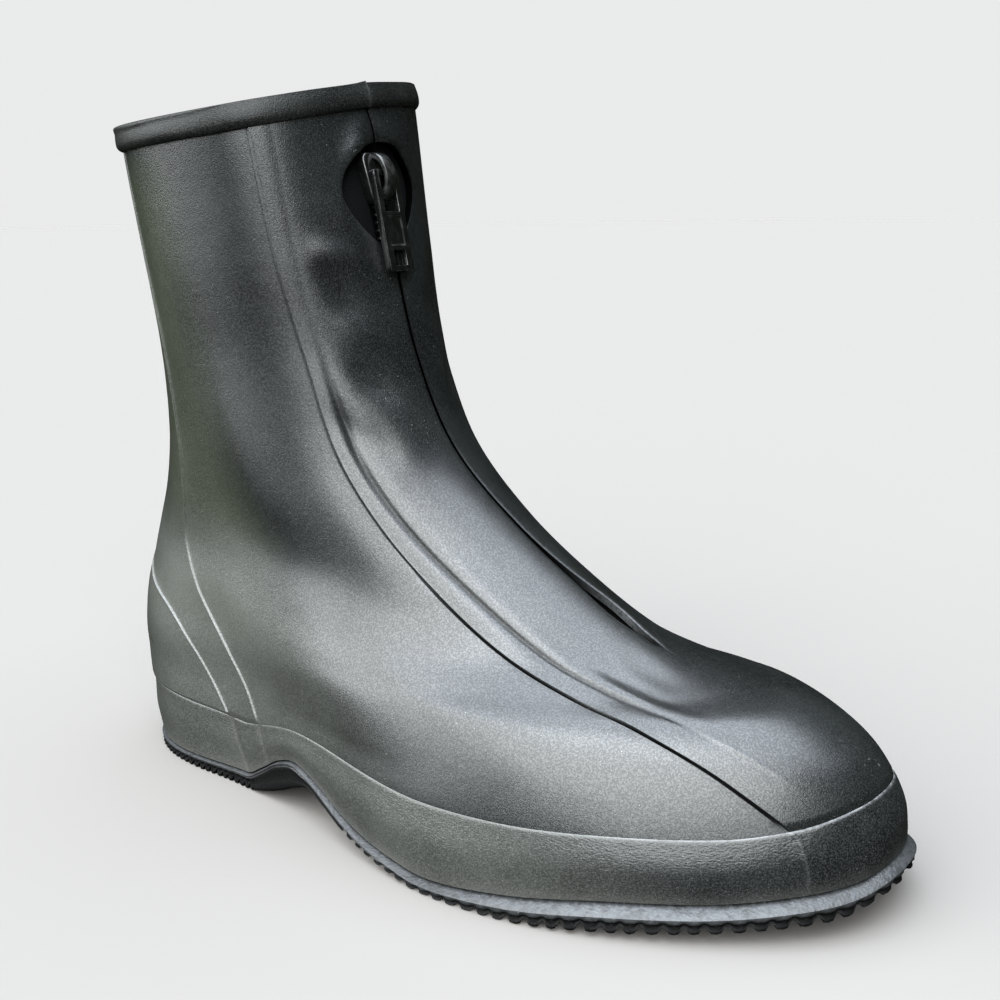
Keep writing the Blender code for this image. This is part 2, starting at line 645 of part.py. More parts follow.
def rounded_outline(wide, low, high, radius):
    """Rounded rectangle between two heights, as points in order."""
    points = []
    corners = ((wide / 2 - radius, low + radius, -90), (wide / 2 - radius, high - radius, 0),
               (radius - wide / 2, high - radius, 90), (radius - wide / 2, low + radius, 180))
    for x, z, start in corners:
        for step in range(CORNER_STEPS + 1):
            angle = math.radians(start + 90 * step / CORNER_STEPS)
            points.append((x + radius * math.cos(angle), z + radius * math.sin(angle)))
    return points


def make_pull(collection, frame):
    """Flat pull with a slot for the bridge and a small window; its origin is on the pin line."""
    curve = bpy.data.curves.new("zip_pull", "CURVE")
    curve.dimensions = "2D"
    curve.fill_mode = "BOTH"
    curve.extrude = PULL_THICK / 2 * MM
    foot = PULL_TOP - PULL_LONG
    outlines = (rounded_outline(PULL_WIDE, foot, PULL_TOP, PULL_ROUND),
                rounded_outline(SLOT_WIDE, -PULL_TOP - SLOT_LONG, -PULL_TOP, PULL_ROUND),
                rounded_outline(WINDOW_WIDE, foot + WINDOW_FOOT, foot + WINDOW_FOOT + WINDOW_LONG,
                                PULL_ROUND / 2))
    for outline in outlines:
        spline = curve.splines.new("POLY")
        spline.points.add(len(outline) - 1)
        spline.use_cyclic_u = True
        for point, (x, z) in zip(spline.points, outline):
            point.co = (x * MM, z * MM, 0.0, 1.0)
    drawn = bpy.data.objects.new("zip_pull_outline", curve)
    collection.objects.link(drawn)
    bpy.context.view_layer.update()
    flat = bpy.data.meshes.new_from_object(drawn.evaluated_get(bpy.context.evaluated_depsgraph_get()))
    bpy.data.objects.remove(drawn)
    bm = bmesh.new()
    bm.from_mesh(flat)
    bmesh.ops.remove_doubles(bm, verts=bm.verts[:], dist=1e-6)
    stand = Matrix.Rotation(math.pi / 2, 4, "X")
    bmesh.ops.transform(bm, matrix=stand, verts=bm.verts[:])
    bmesh.ops.recalc_face_normals(bm, faces=bm.faces[:])
    pull = add_piece("zip_pull", bm, collection)
    lean = Matrix.Rotation(PULL_LEAN, 4, "X")
    pull.matrix_world = frame @ Matrix.Translation((0.0, PIN_OUT * MM, PIN_UP * MM)) @ lean
    return pull


def main():
    """Build every piece into one collection."""
    for old in list(bpy.data.objects):
        bpy.data.objects.remove(old)
    collection = bpy.data.collections.new("rubber_overshoe")
    bpy.context.scene.collection.children.link(collection)
    make_outsole(collection)
    make_upper(collection)
    make_overlay("foxing", [row for row in FOOT_ROWS if row < FOXING_ROW], FOXING_OUT, collection)
    make_collar_band(collection)
    make_zip_tape(collection)
    make_zip_chain(collection)
    frame = slider_frame()
    make_slider(collection, frame)
    make_pull(collection, frame)


if __name__ == "__main__":
    main()
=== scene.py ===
"""Looks of a zip-front rubber overshoe for the right foot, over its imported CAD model.

Frame: metres, +X toward the toe, +Y toward the medial (inner) side, +Z up, origin on the floor.
Sizes are millimetres on the boot's own last, read by row (from the sole up) and by signed girth
(from the front centre round to the back; lateral girths are negative).
"""
from __future__ import annotations

import logging
import math
from dataclasses import dataclass, field
from enum import Enum
from typing import Any, ClassVar, NamedTuple, Sequence

import bmesh
import bpy
import numpy as np
from mathutils import Matrix, Vector


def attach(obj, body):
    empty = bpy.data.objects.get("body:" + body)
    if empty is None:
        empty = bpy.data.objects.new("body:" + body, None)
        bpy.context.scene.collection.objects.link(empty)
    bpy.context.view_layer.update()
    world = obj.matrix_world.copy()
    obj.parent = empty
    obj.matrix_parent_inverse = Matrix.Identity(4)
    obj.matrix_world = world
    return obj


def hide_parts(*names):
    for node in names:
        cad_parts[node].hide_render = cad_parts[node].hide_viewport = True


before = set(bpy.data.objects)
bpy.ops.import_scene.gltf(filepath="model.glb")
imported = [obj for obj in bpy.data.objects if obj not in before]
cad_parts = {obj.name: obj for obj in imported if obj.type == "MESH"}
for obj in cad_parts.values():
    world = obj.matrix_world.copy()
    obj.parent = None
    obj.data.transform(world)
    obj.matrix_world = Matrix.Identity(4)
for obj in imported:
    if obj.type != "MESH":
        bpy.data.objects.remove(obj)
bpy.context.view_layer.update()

LOG = logging.getLogger("overshoe")
MM = 0.001
MERGE = 1e-6
FIRST_WALL = 0.3 * MM
Array = np.ndarray
Colour = tuple[float, float, float]


class Body(Enum):
    """Moving bodies of the frame."""

    BOOT = "boot"
    PULL_TAB = "pull_tab"


class Slot(Enum):
    """Material slots of the record."""

    UPPER = "upper_rubber"
    FOXING = "foxing_rubber"
    COLLAR = "collar_rubber"
    SOLE = "sole_rubber"
    TAPE = "zip_tape"
    CHAIN = "zip_chain"
    METAL = "zip_metal"


class Section(NamedTuple):
    """One level of the last: its ends in side view, half widths, roundness and seam girths."""

    back_x: float
    back_z: float
    front_x: float
    front_z: float
    heel_half: float
    ball_half: float
    ball_at: float
    heel_round: float
    toe_round: float
    back_power: float
    front_power: float
    panel: float
    stay: float
    counter: float


class Station(NamedTuple):
    """One place along the sole: feather edge, foxing top, tread, and the ledge's reach and fall."""

    along: float
    edge: float
    foxing: float
    floor: float
    lip: float
    fall: float


SECTIONS = (
    Section(-151.0, 5.5, 148.5, 15.5, 37.5, 52.5, .62, .17, .34, 2.2, 2.2, 36.0, 110.0, 94.0),
    Section(-153.5, 16.0, 147.5, 26.0, 38.0, 53.5, .62, .17, .34, 2.2, 2.2, 36.5, 110.0, 93.0),
    Section(-154.5, 27.0, 145.0, 36.0, 39.0, 53.5, .63, .17, .35, 2.2, 2.2, 38.5, 108.0, 90.0),
    Section(-155.5, 38.5, 136.5, 49.5, 38.5, 51.0, .64, .18, .37, 2.2, 2.2, 48.0, 102.0, 81.0),
    Section(-155.0, 51.0, 120.5, 58.5, 38.5, 48.0, .65, .19, .41, 2.2, 2.2, 56.5, 92.5, 70.0),
    Section(-153.0, 64.0, 99.0, 62.0, 37.5, 45.0, .65, .21, .46, 2.2, 2.05, 56.5, 81.0, 54.0),
    Section(-148.5, 77.5, 74.0, 69.0, 37.0, 42.5, .63, .24, .50, 2.2, 2.05, 54.5, 68.0, 25.0),
    Section(-142.5, 93.5, 48.0, 83.0, 36.5, 41.5, .60, .28, .52, 2.2, 2.05, 52.0, 56.0, 17.0),
    Section(-135.0, 111.0, 18.5, 104.0, 37.0, 41.0, .56, .33, .52, 2.2, 2.05, 48.0, 49.5, 17.0),
    Section(-129.0, 133.0, -7.5, 129.5, 38.5, 42.0, .54, .38, .52, 2.2, 2.2, 43.5, 45.0, 17.0),
    Section(-126.0, 162.5, -22.0, 160.5, 42.0, 43.5, .52, .44, .52, 2.3, 2.35, 42.0, 42.5, 17.0),
    Section(-127.5, 198.5, -31.0, 197.5, 46.0, 47.0, .52, .48, .52, 2.4, 2.5, 45.0, 42.0, 17.0),
    Section(-129.0, 233.0, -40.5, 243.0, 49.0, 49.5, .52, .50, .50, 2.6, 2.8, 47.0, 42.0, 17.0),
    Section(-129.5, 241.5, -43.0, 251.0, 49.5, 49.5, .52, .50, .50, 2.6, 2.8, 47.0, 42.0, 17.0),
)
STATIONS = (
    Station(-157.0, 5.6, 29.2, 2.4, 0.8, 0.5),
    Station(-138.0, 5.1, 28.8, 0.2, 0.8, 0.5),
    Station(-128.0, 5.1, 28.4, 0.0, 0.8, 0.5),
    Station(-78.0, 6.6, 27.0, 0.0, 1.0, 0.6),
    Station(-68.0, 11.4, 28.6, 2.4, 1.0, 0.6),
    Station(-57.0, 17.7, 31.2, 6.4, 1.0, 0.6),
    Station(-46.0, 20.7, 33.0, 11.4, 1.0, 0.6),
    Station(-37.0, 19.0, 33.5, 14.2, 1.0, 0.7),
    Station(-28.0, 16.1, 33.4, 11.6, 1.2, 0.8),
    Station(-17.0, 11.7, 32.7, 7.3, 1.4, 1.0),
    Station(-5.0, 8.5, 31.7, 4.0, 1.6, 1.2),
    Station(10.0, 6.1, 30.5, 1.4, 1.9, 1.6),
    Station(22.0, 4.8, 30.0, 0.0, 2.2, 2.0),
    Station(52.0, 7.4, 30.0, 0.0, 2.6, 2.6),
    Station(84.0, 11.2, 30.8, 2.1, 3.0, 3.2),
    Station(112.0, 12.6, 31.6, 4.3, 3.2, 3.4),
    Station(130.0, 14.6, 34.0, 6.0, 3.2, 3.4),
    Station(143.0, 16.6, 38.0, 7.4, 3.0, 3.2),
    Station(156.0, 22.0, 42.5, 12.5, 2.6, 2.8),
)
RIM_ROW = len(SECTIONS) - 1
BAND_ROW = RIM_ROW - 1
FOXING_ROW = 2.0
ZIP_END_ROW = 6.0


def smooth(x: Array | float) -> Array:
    """Smooth step from 0 to 1."""
    x = np.clip(x, 0.0, 1.0)
    return x * x * (3.0 - 2.0 * x)


def bell(x: Array | float, middle: Array | float, width: float) -> Array:
    """Bell of height 1 round a middle."""
    return np.exp(-((x - middle) / width) ** 2)


def rise(x: Array | float, start: float, run: float) -> Array:
    """Smooth step from 0 at a start to 1 a run further on; a negative run steps the other way."""
    return smooth((x - start) / run)


class Swell(NamedTuple):
    """Bell across a seam, an edge or the rows: its height, where its middle lies and its width."""

    height: float
    middle: float
    width: float

    def at(self, way: Array | float) -> Array:
        """Height of the bell at ways past its zero."""
        return self.height * bell(way, self.middle, self.width)


def hermite(part: Array, start: Array, end: Array, leave: Array, arrive: Array) -> Array:
    """Cubic between two values with their slopes.

    Args:
        part: Share of the way, 0 to 1.
        start: Value at 0.
        end: Value at 1.
        leave: Slope at 0.
        arrive: Slope at 1.

    Returns:
        The value at that share.
    """
    cube, square = part ** 3, part ** 2
    return ((2 * cube - 3 * square + 1) * start + (cube - 2 * square + part) * leave
            + (3 * square - 2 * cube) * end + (cube - square) * arrive)


class Ring:
    """One level of the last as a closed loop, read by signed girth."""

    def __init__(self, points: Array) -> None:
        """Measure the loop.

        Args:
            points: Loop that starts at the back, goes round the lateral side and has an even count.
        """
        steps = np.linalg.norm(np.roll(points, -1, axis=0) - points, axis=1)
        self.points = points
        self.places = np.concatenate([[0.0], np.cumsum(steps)[:-1]])
        self.length = float(steps.sum())
        self.lateral = float(self.places[len(points) // 2])
        self.medial = self.length - self.lateral

    def at(self, girths: Array) -> Array:
        """Points at signed girths."""
        places = self.lateral + np.asarray(girths, float)
        return np.stack([np.interp(places, self.places, self.points[:, axis], period=self.length)
                         for axis in range(3)], axis=-1)

    def half(self, girths: Array) -> Array:
        """Half girth on the side of each signed girth."""
        return np.where(np.asarray(girths) < 0, self.lateral, self.medial)


@dataclass
class Last:
    """Form that the boot is built on, the same as in the part's source."""

    centre: tuple[float, float] = (-1.90, -4.23)
    line: tuple[float, float, float] = (7.5, -6.5, 9.5)
    line_fade_rows: float = 12.0
    heel_end: float = 0.20
    ball_at: float = 0.62
    swell_start: float = 0.6
    wave_fade_rows: float = 2.4
    level_rows: float = 1.5
    rim_tilt: tuple[float, float] = (0.10, 0.15)
    rim_tilt_medial: float = 0.6
    rim_tilt_rows: float = 2.5
    samples: int = 1401
    front_samples: int = 400
    normal_reach: float = 0.4
    normal_rows: float = 0.03
    rings: dict[float, Ring] = field(default_factory=dict)

    def section(self, row: float) -> Section:
        """Section between the table's rows, on a smooth curve through them.

        Args:
            row: Row on the last, 0 at the feather edge.

        Returns:
            The section at that row.
        """
        table = np.array(SECTIONS)
        lower = int(np.clip(math.floor(row), 0, RIM_ROW - 1))
        start, end = table[lower], table[lower + 1]
        before = table[lower - 1] if lower > 0 else 2 * start - end
        after = table[lower + 2] if lower + 2 <= RIM_ROW else 2 * end - start
        return Section(*hermite(row - lower, start, end, (end - before) / 2, (after - start) / 2))

    def station(self, along: Array | float, column: str) -> Array:
        """Value of a column of the sole's stations, on a curve that never overshoots them.

        Args:
            along: Places along the sole.
            column: Name of the column.

        Returns:
            The column's values at those places.
        """
        table = np.array(STATIONS)
        places, values = table[:, 0], table[:, Station._fields.index(column)]
        steps = np.diff(places)
        slopes = np.diff(values) / steps
        product = slopes[:-1] * slopes[1:]
        total = np.where(product > 0, slopes[:-1] + slopes[1:], 1.0)
        turns = np.concatenate([[0.0], np.where(product > 0, 2 * product / total, 0.0), [0.0]])
        along = np.clip(along, places[0], places[-1])
        lower = np.clip(np.searchsorted(places, along) - 1, 0, len(steps) - 1)
        part = (along - places[lower]) / steps[lower]
        return hermite(part, values[lower], values[lower + 1],
                       turns[lower] * steps[lower], turns[lower + 1] * steps[lower])

    def foot_line(self, share: Array) -> Array:
        """Sideways place of the foot's middle line at a share of its length.

        Args:
            share: Shares of the foot's length from the back.

        Returns:
            Sideways places in millimetres.
        """
        heel, ball, toe = self.line
        to_ball = rise(share, self.heel_end, self.ball_at - self.heel_end)
        to_toe = rise(share, self.ball_at, 1.0 - self.ball_at)
        return heel * (1 - to_ball) + ball * to_ball * (1 - to_toe) + toe * to_toe

    def height(self, section: Section, row: float, share: Array, side: Array) -> Array:
        """Height along a section, with the sole's wave and the rim's tilt.

        Args:
            section: Section at the row.
            row: Row on the last.
            share: Shares of the section's length from the back.
            side: Signed half widths.

        Returns:
            Heights in millimetres.
        """
        def straight(level: Section) -> Array:
            """Height of a level's straight line from back to front."""
            return level.back_z + (level.front_z - level.back_z) * share

        along = section.back_x + (section.front_x - section.back_x) * share
        low = self.station(along, "edge") - straight(SECTIONS[0])
        high = self.station(along, "foxing") - straight(SECTIONS[int(FOXING_ROW)])
        mix = min(row / FOXING_ROW, 1.0)
        wave = (low * (1 - mix) + high * mix) * (1 - rise(row, FOXING_ROW, self.wave_fade_rows))
        slope = self.rim_tilt[0] + (self.rim_tilt[1] - self.rim_tilt[0]) * share
        slope = slope * np.where(side < 0, 1.0, self.rim_tilt_medial)
        tilt = side * slope * rise(row, BAND_ROW - self.rim_tilt_rows, self.rim_tilt_rows)
        return straight(section) + wave + tilt

    def half_width(self, section: Section, share: Array) -> Array:
        """Half width of a section at shares of its length.

        Args:
            section: Section of the last.
            share: Shares of its length from the back.

        Returns:
            Half widths in millimetres.
        """
        start = self.swell_start * section.heel_round
        swell = rise(share, start, section.ball_at - start)
        width = section.heel_half + (section.ball_half - section.heel_half) * swell
        back = np.clip(1 - share / section.heel_round, 0, 1)
        front = np.clip((share - 1 + section.toe_round) / section.toe_round, 0, 1)
        return (width * (1 - back ** section.back_power) ** (1 / section.back_power)
                * (1 - front ** section.front_power) ** (1 / section.front_power))

    def ring(self, row: float) -> Ring:
        """Ring at a row, kept for reuse.

        Args:
            row: Row on the last.

        Returns:
            The closed loop at that row.
        """
        key = round(float(row), 6)
        if key not in self.rings:
            section = self.section(key)
            turn = np.linspace(-1.0, 1.0, 2 * self.samples - 1)[:-1]
            share = (1 + np.cos(np.pi * turn)) / 2
            side = np.sign(turn) * self.half_width(section, share)
            line = (1 - smooth(key / self.line_fade_rows)) * self.foot_line(share)
            along = section.back_x + (section.front_x - section.back_x) * share
            height = self.height(section, key, share, side)
            self.rings[key] = Ring(np.stack([along, line + side, height], axis=1))
        return self.rings[key]

    def normals(self, row: float, girths: Array) -> Array:
        """Outward directions, level at the feather edge, at a row and signed girths.

        Args:
            row: Row on the last.
            girths: Signed girths from the front centre.

        Returns:
            Unit vectors.
        """
        reach, lift = self.normal_reach, self.normal_rows
        here = self.ring(row)
        below, above = self.ring(max(row - lift, 0.0)), self.ring(min(row + lift, float(RIM_ROW)))
        share = girths / here.half(girths)
        around = here.at(girths + reach) - here.at(girths - reach)
        upward = above.at(share * above.half(girths)) - below.at(share * below.half(girths))
        out = np.cross(around, upward)
        out[..., 2] *= smooth(row / self.level_rows)
        return out / np.linalg.norm(out, axis=-1, keepdims=True)

    def points(self, row: float, girths: Array, out: Array | float) -> Array:
        """Points at distances out from the last at a row and signed girths.

        Args:
            row: Row on the last.
            girths: Signed girths from the front centre.
            out: Distances out.

        Returns:
            Points in millimetres.
        """
        girths = np.asarray(girths, float)
        reach = np.broadcast_to(out, girths.shape)[..., None]
        return self.ring(row).at(girths) + reach * self.normals(row, girths)

    def front_row(self, height: float) -> float:
        """Row whose front centre lies at a height on the shaft."""
        rows = np.linspace(ZIP_END_ROW, RIM_ROW, self.front_samples)
        return float(np.interp(height, [self.section(row).front_z for row in rows], rows))

    def placed(self, points: Array) -> Array:
        """World points in metres of points in millimetres."""
        return (np.asarray(points, float) - (*self.centre, 0.0)) * MM


LAST = Last()


class Value:
    """Output socket in a node tree; arithmetic on it adds Math nodes."""

    def __init__(self, shader: Shader, socket: bpy.types.NodeSocket) -> None:
        """Keep the tree and the socket."""
        self.shader = shader
        self.socket = socket

    def math(self, operation: str, *others: Value | float, flip: bool = False) -> Value:
        """Math node on this value and others.

        Args:
            operation: Blender's name of the operation.
            others: Further operands.
            flip: True puts this value second.

        Returns:
            The node's output.
        """
        operands: list[Any] = [self, *others]
        if flip:
            operands[:2] = operands[1::-1]
        return self.shader.node("ShaderNodeMath", {"operation": operation}, dict(enumerate(operands)))

    def __add__(self, other: Value | float) -> Value:
        """Sum."""
        return self.math("ADD", other)

    def __sub__(self, other: Value | float) -> Value:
        """Difference."""
        return self.math("SUBTRACT", other)

    def __rsub__(self, other: Value | float) -> Value:
        """Difference from a number."""
        return self.math("SUBTRACT", other, flip=True)

    def __mul__(self, other: Value | float) -> Value:
        """Product."""
        return self.math("MULTIPLY", other)

    __radd__ = __add__
    __rmul__ = __mul__

    def ramp(self, low: float, high: float) -> Value:
        """Smooth step of this value from 0 at low to 1 at high."""
        return self.shader.node("ShaderNodeMapRange", {"interpolation_type": "SMOOTHSTEP"},
                                {"Value": self, "From Min": low, "From Max": high})


class Shader:
    """Node tree of one material with its Principled surface."""

    def __init__(self, name: str) -> None:
        """Start a material with a bare Principled shader.

        Args:
            name: Name of the material.
        """
        self.material = bpy.data.materials.new(name)
        self.material.use_nodes = True
        self.tree = self.material.node_tree
        self.surface = self.tree.nodes["Principled BSDF"]

    def node(self, kind: str, settings: dict[str, Any] | None = None,
             sockets: dict[str | int, Any] | None = None, output: str | int = 0) -> Value:
        """Add any node.

        Args:
            kind: Type of the node.
            settings: Properties, set first.
            sockets: Values or links of its inputs, by name or number.
            output: Output to read.

        Returns:
            That output.
        """
        node = self.tree.nodes.new(kind)
        for key, value in (settings or {}).items():
            setattr(node, key, value)
        for key, value in (sockets or {}).items():
            self.feed(node.inputs[key], value)
        return Value(self, node.outputs[output])

    def feed(self, socket: bpy.types.NodeSocket, value: Any) -> None:
        """Link a value to a socket or set the socket's own number or colour.

        Args:
            socket: Input to feed.
            value: Output, number, vector or colour.
        """
        if isinstance(value, Value):
            self.tree.links.new(value.socket, socket)
        elif socket.type == "RGBA":
            socket.default_value = (*value, 1.0)
        else:
            socket.default_value = value

    def place(self, scale: Sequence[float] = (1.0, 1.0, 1.0)) -> Value:
        """Object coordinates in metres, stretched by a scale along each axis."""
        here = self.node("ShaderNodeTexCoord", output="Object")
        return self.node("ShaderNodeMapping", None, {"Vector": here, "Scale": scale})

    def noise(self, place: Value, size: float, detail: float = 2.0, rough: float = 0.5) -> Value:
        """Noise around one half with features of a size in millimetres."""
        sockets = {"Vector": place, "Scale": 1.0 / (size * MM), "Detail": detail, "Roughness": rough}
        return self.node("ShaderNodeTexNoise", None, sockets)

    def cells(self, place: Value, size: float) -> Value:
        """Way to the middle of the nearest Voronoi cell, with cells of a size in millimetres."""
        return self.node("ShaderNodeTexVoronoi", None, {"Vector": place, "Scale": 1.0 / (size * MM)})

    def mark(self, name: str) -> Value:
        """Mark painted on the mesh's vertices."""
        return self.node("ShaderNodeAttribute", {"attribute_name": name}, None, "Fac")

    def blend(self, factor: Value, first: Value | Colour, second: Value | Colour) -> Value:
        """Colour between two colours."""
        return self.node("ShaderNodeMix", {"data_type": "RGBA"}, {0: factor, 6: first, 7: second}, 2)

    def bump(self, height: Value, strength: float, distance: float, over: Value | None = None) -> Value:
        """Bumped normal from a height.

        Args:
            height: Height from 0 to 1.
            strength: Share of the bump that shows.
            distance: Height in millimetres that 1 stands for.
            over: Normal that is already bumped.

        Returns:
            The normal.
        """
        sockets: dict[str | int, Any] = {"Height": height, "Strength": strength, "Distance": distance * MM}
        if over is not None:
            sockets["Normal"] = over
        return self.node("ShaderNodeBump", None, sockets)

    def finish(self, **sockets: Any) -> bpy.types.Material:
        """Feed the surface and end the material.

        Args:
            sockets: Values of the surface's inputs, named with underscores.

        Returns:
            The material.
        """
        for key, value in sockets.items():
            self.feed(self.surface.inputs[key.replace("_", " ")], value)
        return self.material


@dataclass(frozen=True)
class Rubber:
    """Black rubber with a fine grain, dust, specks, worn edges and places with more gleam; its colour also
    carries painted shade, painted sheen, a painted reflection and painted sparkle.

    Sizes are millimetres, and the marks painted on the mesh say where each effect shows.
    """

    name: str
    dark: Colour
    pale: Colour
    worn: Colour
    dust: Colour = (0.20, 0.19, 0.17)
    # Grey film where the rubber has bloomed, also laid on as painted sheen over the quarter's back
    bloom_and_sheen: Colour = (0.058, 0.060, 0.053)
    # Greenish painted reflection of the surroundings on the shaft's lateral side
    painted_reflection: Colour = (0.025, 0.029, 0.018)
    speck: Colour = (0.42, 0.42, 0.41)
    # Near black laid as painted shade where shade falls: seam troughs, the slit, and the sole's teeth and
    # tread
    painted_shade_colour: Colour = (0.001, 0.001, 0.001)
    roughness: float = 0.29
    specular: float = 0.27
    gleam_roughness: float = 0.33
    grain: float = 0.42
    grain_stretch: tuple[float, float, float] = (1.0, 1.0, 1.0)
    grain_strength: float = 0.5
    grain_distance: float = 0.17
    coarse: float = 0.15
    crumple: float = 14.0
    crumple_strength: float = 0.15
    crumple_distance: float = 1.6
    cloud_size: float = 38.0
    glint_size: float = 0.55
    painted_sparkle_size: float = 0.4
    speck_size: float = 2.4
    speck_patch: float = 24.0
    scuff_size: float = 2.4
    scuff_patch: float = 30.0
    scuff_stretch: tuple[float, float, float] = (0.35, 1.0, 1.6)
    specks: float = 0.4
    # Share of painted sparkle: pale flecks in the colour that stand for glints of the grain
    painted_sparkle: float = 0.10
    wear: float = 0.5
    patchy: float = 0.75
    dirt: float = 0.5

    def material(self) -> bpy.types.Material:
        """Build the procedural material.

        Returns:
            The material.
        """
        shader = Shader(self.name)
        here, grainy = shader.place(), shader.place(self.grain_stretch)
        pebble = shader.noise(grainy, self.grain, 0.0)
        fine = shader.noise(grainy, self.grain * 0.5, 1.0)
        coarse = shader.noise(grainy, self.grain * 2.5, 2.0)
        crumple = shader.noise(here, self.crumple, 3.0)
        cloud = shader.noise(here, self.cloud_size, 4.0, 0.6)
        glint = shader.noise(here, self.glint_size, 1.0).ramp(0.42, 0.64)
        painted_sparkle = shader.noise(here, self.painted_sparkle_size, 1.0).ramp(0.57, 0.72)
        speck = 1 - shader.cells(here, self.speck_size).ramp(0.03, 0.08)
        speck = speck * shader.noise(here, self.speck_patch, 2.0).ramp(0.46, 0.62) * self.specks
        scuff = shader.noise(shader.place(self.scuff_stretch), self.scuff_size, 3.0, 0.7).ramp(0.64, 0.74)
        scuff = scuff * shader.noise(here, self.scuff_patch, 2.0).ramp(0.55, 0.72) * self.specks * 0.5
        broken = (1 - self.patchy) + self.patchy * coarse.ramp(0.35, 0.6)
        edge = shader.mark("edge") * broken * self.wear
        dirt = shader.mark("dirt") * (0.35 + 0.65 * cloud.ramp(0.3, 0.6)) * self.dirt
        # Painted shade: darkens the colour to near black and, through Metallic, takes the reflection out
        # where shade falls
        painted_shade = shader.mark("painted_shade")
        tone = shader.blend(cloud.ramp(0.35, 0.68), self.dark, self.pale)
        # The first two marks lay the grey film with its painted sheen, and the painted greenish reflection
        for share, colour in ((shader.mark("bloom_and_sheen") * (0.25 + 0.6 * cloud + 0.3 * glint), self.bloom_and_sheen),
                              (shader.mark("painted_reflection") * (0.2 + 0.8 * cloud + 0.4 * glint), self.painted_reflection),
                              # Painted sparkle: the glint and fleck noises lighten the colour in small
                              # spots, standing for glints of the grain
                              (glint * 0.04 + painted_sparkle * self.painted_sparkle, self.worn), (edge, self.worn),
                              (dirt, self.dust), (speck + scuff, self.speck), (painted_shade, self.painted_shade_colour)):
            tone = shader.blend(share, tone, colour)
        rough = self.roughness + 0.12 * (cloud - 0.5) + 0.2 * dirt + 0.12 * speck + 0.3 * painted_shade
        height = pebble + 0.5 * fine + self.coarse * coarse
        grained = shader.bump(height, self.grain_strength, self.grain_distance)
        crumpled = shader.bump(crumple, self.crumple_strength, self.crumple_distance, grained)
        gleam = shader.mark("gleam") * (0.6 + 0.42 * glint) * (1 - painted_shade)
        return shader.finish(Base_Color=tone, Roughness=rough, Metallic=painted_shade, Normal=crumpled,
                             Coat_Weight=gleam, Coat_Roughness=self.gleam_roughness,
                             Specular_IOR_Level=self.specular)


@dataclass(frozen=True)
class Cloth:
    """Dark woven cloth: crossing threads from two sine waves."""

    name: str
    dark: Colour
    pale: Colour
    thread: float = 0.7
    strength: float = 0.6
    specular: float = 0.08
    fuzz_size: float = 0.5
    relief: float = 0.25

    def material(self) -> bpy.types.Material:
        """Build the procedural material.

        Returns:
            The material.
        """
        shader = Shader(self.name)
        here = shader.place()
        axes = shader.node("ShaderNodeSeparateXYZ", None, {"Vector": here})
        turn = 2 * math.pi / (self.thread * MM)
        across = (Value(shader, axes.socket.node.outputs["Y"]) * turn).math("SINE")
        along = (Value(shader, axes.socket.node.outputs["Z"]) * turn).math("SINE")
        weave = across * along * 0.5 + 0.5
        fuzz = shader.noise(here, self.fuzz_size, 2.0)
        tone = shader.blend(weave * 0.7 + fuzz * 0.3, self.dark, self.pale)
        return shader.finish(Base_Color=tone, Roughness=0.75 + 0.2 * fuzz, Specular_IOR_Level=self.specular,
                             Normal=shader.bump(weave + 0.4 * fuzz, self.strength, self.relief))


@dataclass(frozen=True)
class Enamel:
    """Gloss black enamel on cast metal, or moulded plastic, with faint rubbed clouds."""

    name: str
    dark: Colour
    rubbed: Colour
    roughness: float
    cloud_size: float = 3.0
    fine_size: float = 0.5
    fine_strength: float = 0.05
    fine_distance: float = 0.1
    coat: float = 0.5
    coat_roughness: float = 0.1

    def material(self) -> bpy.types.Material:
        """Build the procedural material.

        Returns:
            The material.
        """
        shader = Shader(self.name)
        here = shader.place()
        cloud = shader.noise(here, self.cloud_size, 3.0)
        fine = shader.noise(here, self.fine_size, 2.0)
        tone = shader.blend(cloud.ramp(0.45, 0.7), self.dark, self.rubbed)
        return shader.finish(Base_Color=tone, Roughness=self.roughness + 0.12 * (cloud - 0.5),
                             Normal=shader.bump(fine, self.fine_strength, self.fine_distance),
                             Coat_Weight=self.coat, Coat_Roughness=self.coat_roughness)


@dataclass(frozen=True)
class Paint:
    """Matt pale surface of the stage."""

    name: str
    colour: Colour
    roughness: float = 0.9

    def material(self) -> bpy.types.Material:
        """Build the material."""
        return Shader(self.name).finish(Base_Color=self.colour, Roughness=self.roughness,
                                        Specular_IOR_Level=0.0)


def lattice_place(vert: bmesh.types.BMVert, columns: int, lines: int) -> tuple[int, int]:
    """Column and line of a vertex in a fresh grid of half size 1."""
    return round((vert.co.x + 1) / 2 * (columns - 1)), round((vert.co.y + 1) / 2 * (lines - 1))


def sheet(points: Array, marks: dict[str, Array]) -> bmesh.types.BMesh:
    """Grid laid over a lattice of points.

    Args:
        points: Lattice in millimetres, lines by columns.
        marks: Painted values at the lattice's points.

    Returns:
        The grid, with each vertex's place in the lattice kept in a layer.
    """
    lines, columns = points.shape[:2]
    bm = bmesh.new()
    bm.verts.layers.int.new("place")
    for name in marks:
        bm.verts.layers.float.new(name)
    bmesh.ops.create_grid(bm, x_segments=columns - 1, y_segments=lines - 1, size=1.0)
    where = bm.verts.layers.int["place"]
    layers = [(bm.verts.layers.float[name], values.reshape(-1)) for name, values in marks.items()]
    flat = LAST.placed(points.reshape(-1, 3))
    for vert in bm.verts:
        column, line = lattice_place(vert, columns, lines)
        index = line * columns + column
        vert[where] = index
        vert.co = flat[index]
        for layer, values in layers:
            vert[layer] = values[index]
    return bm


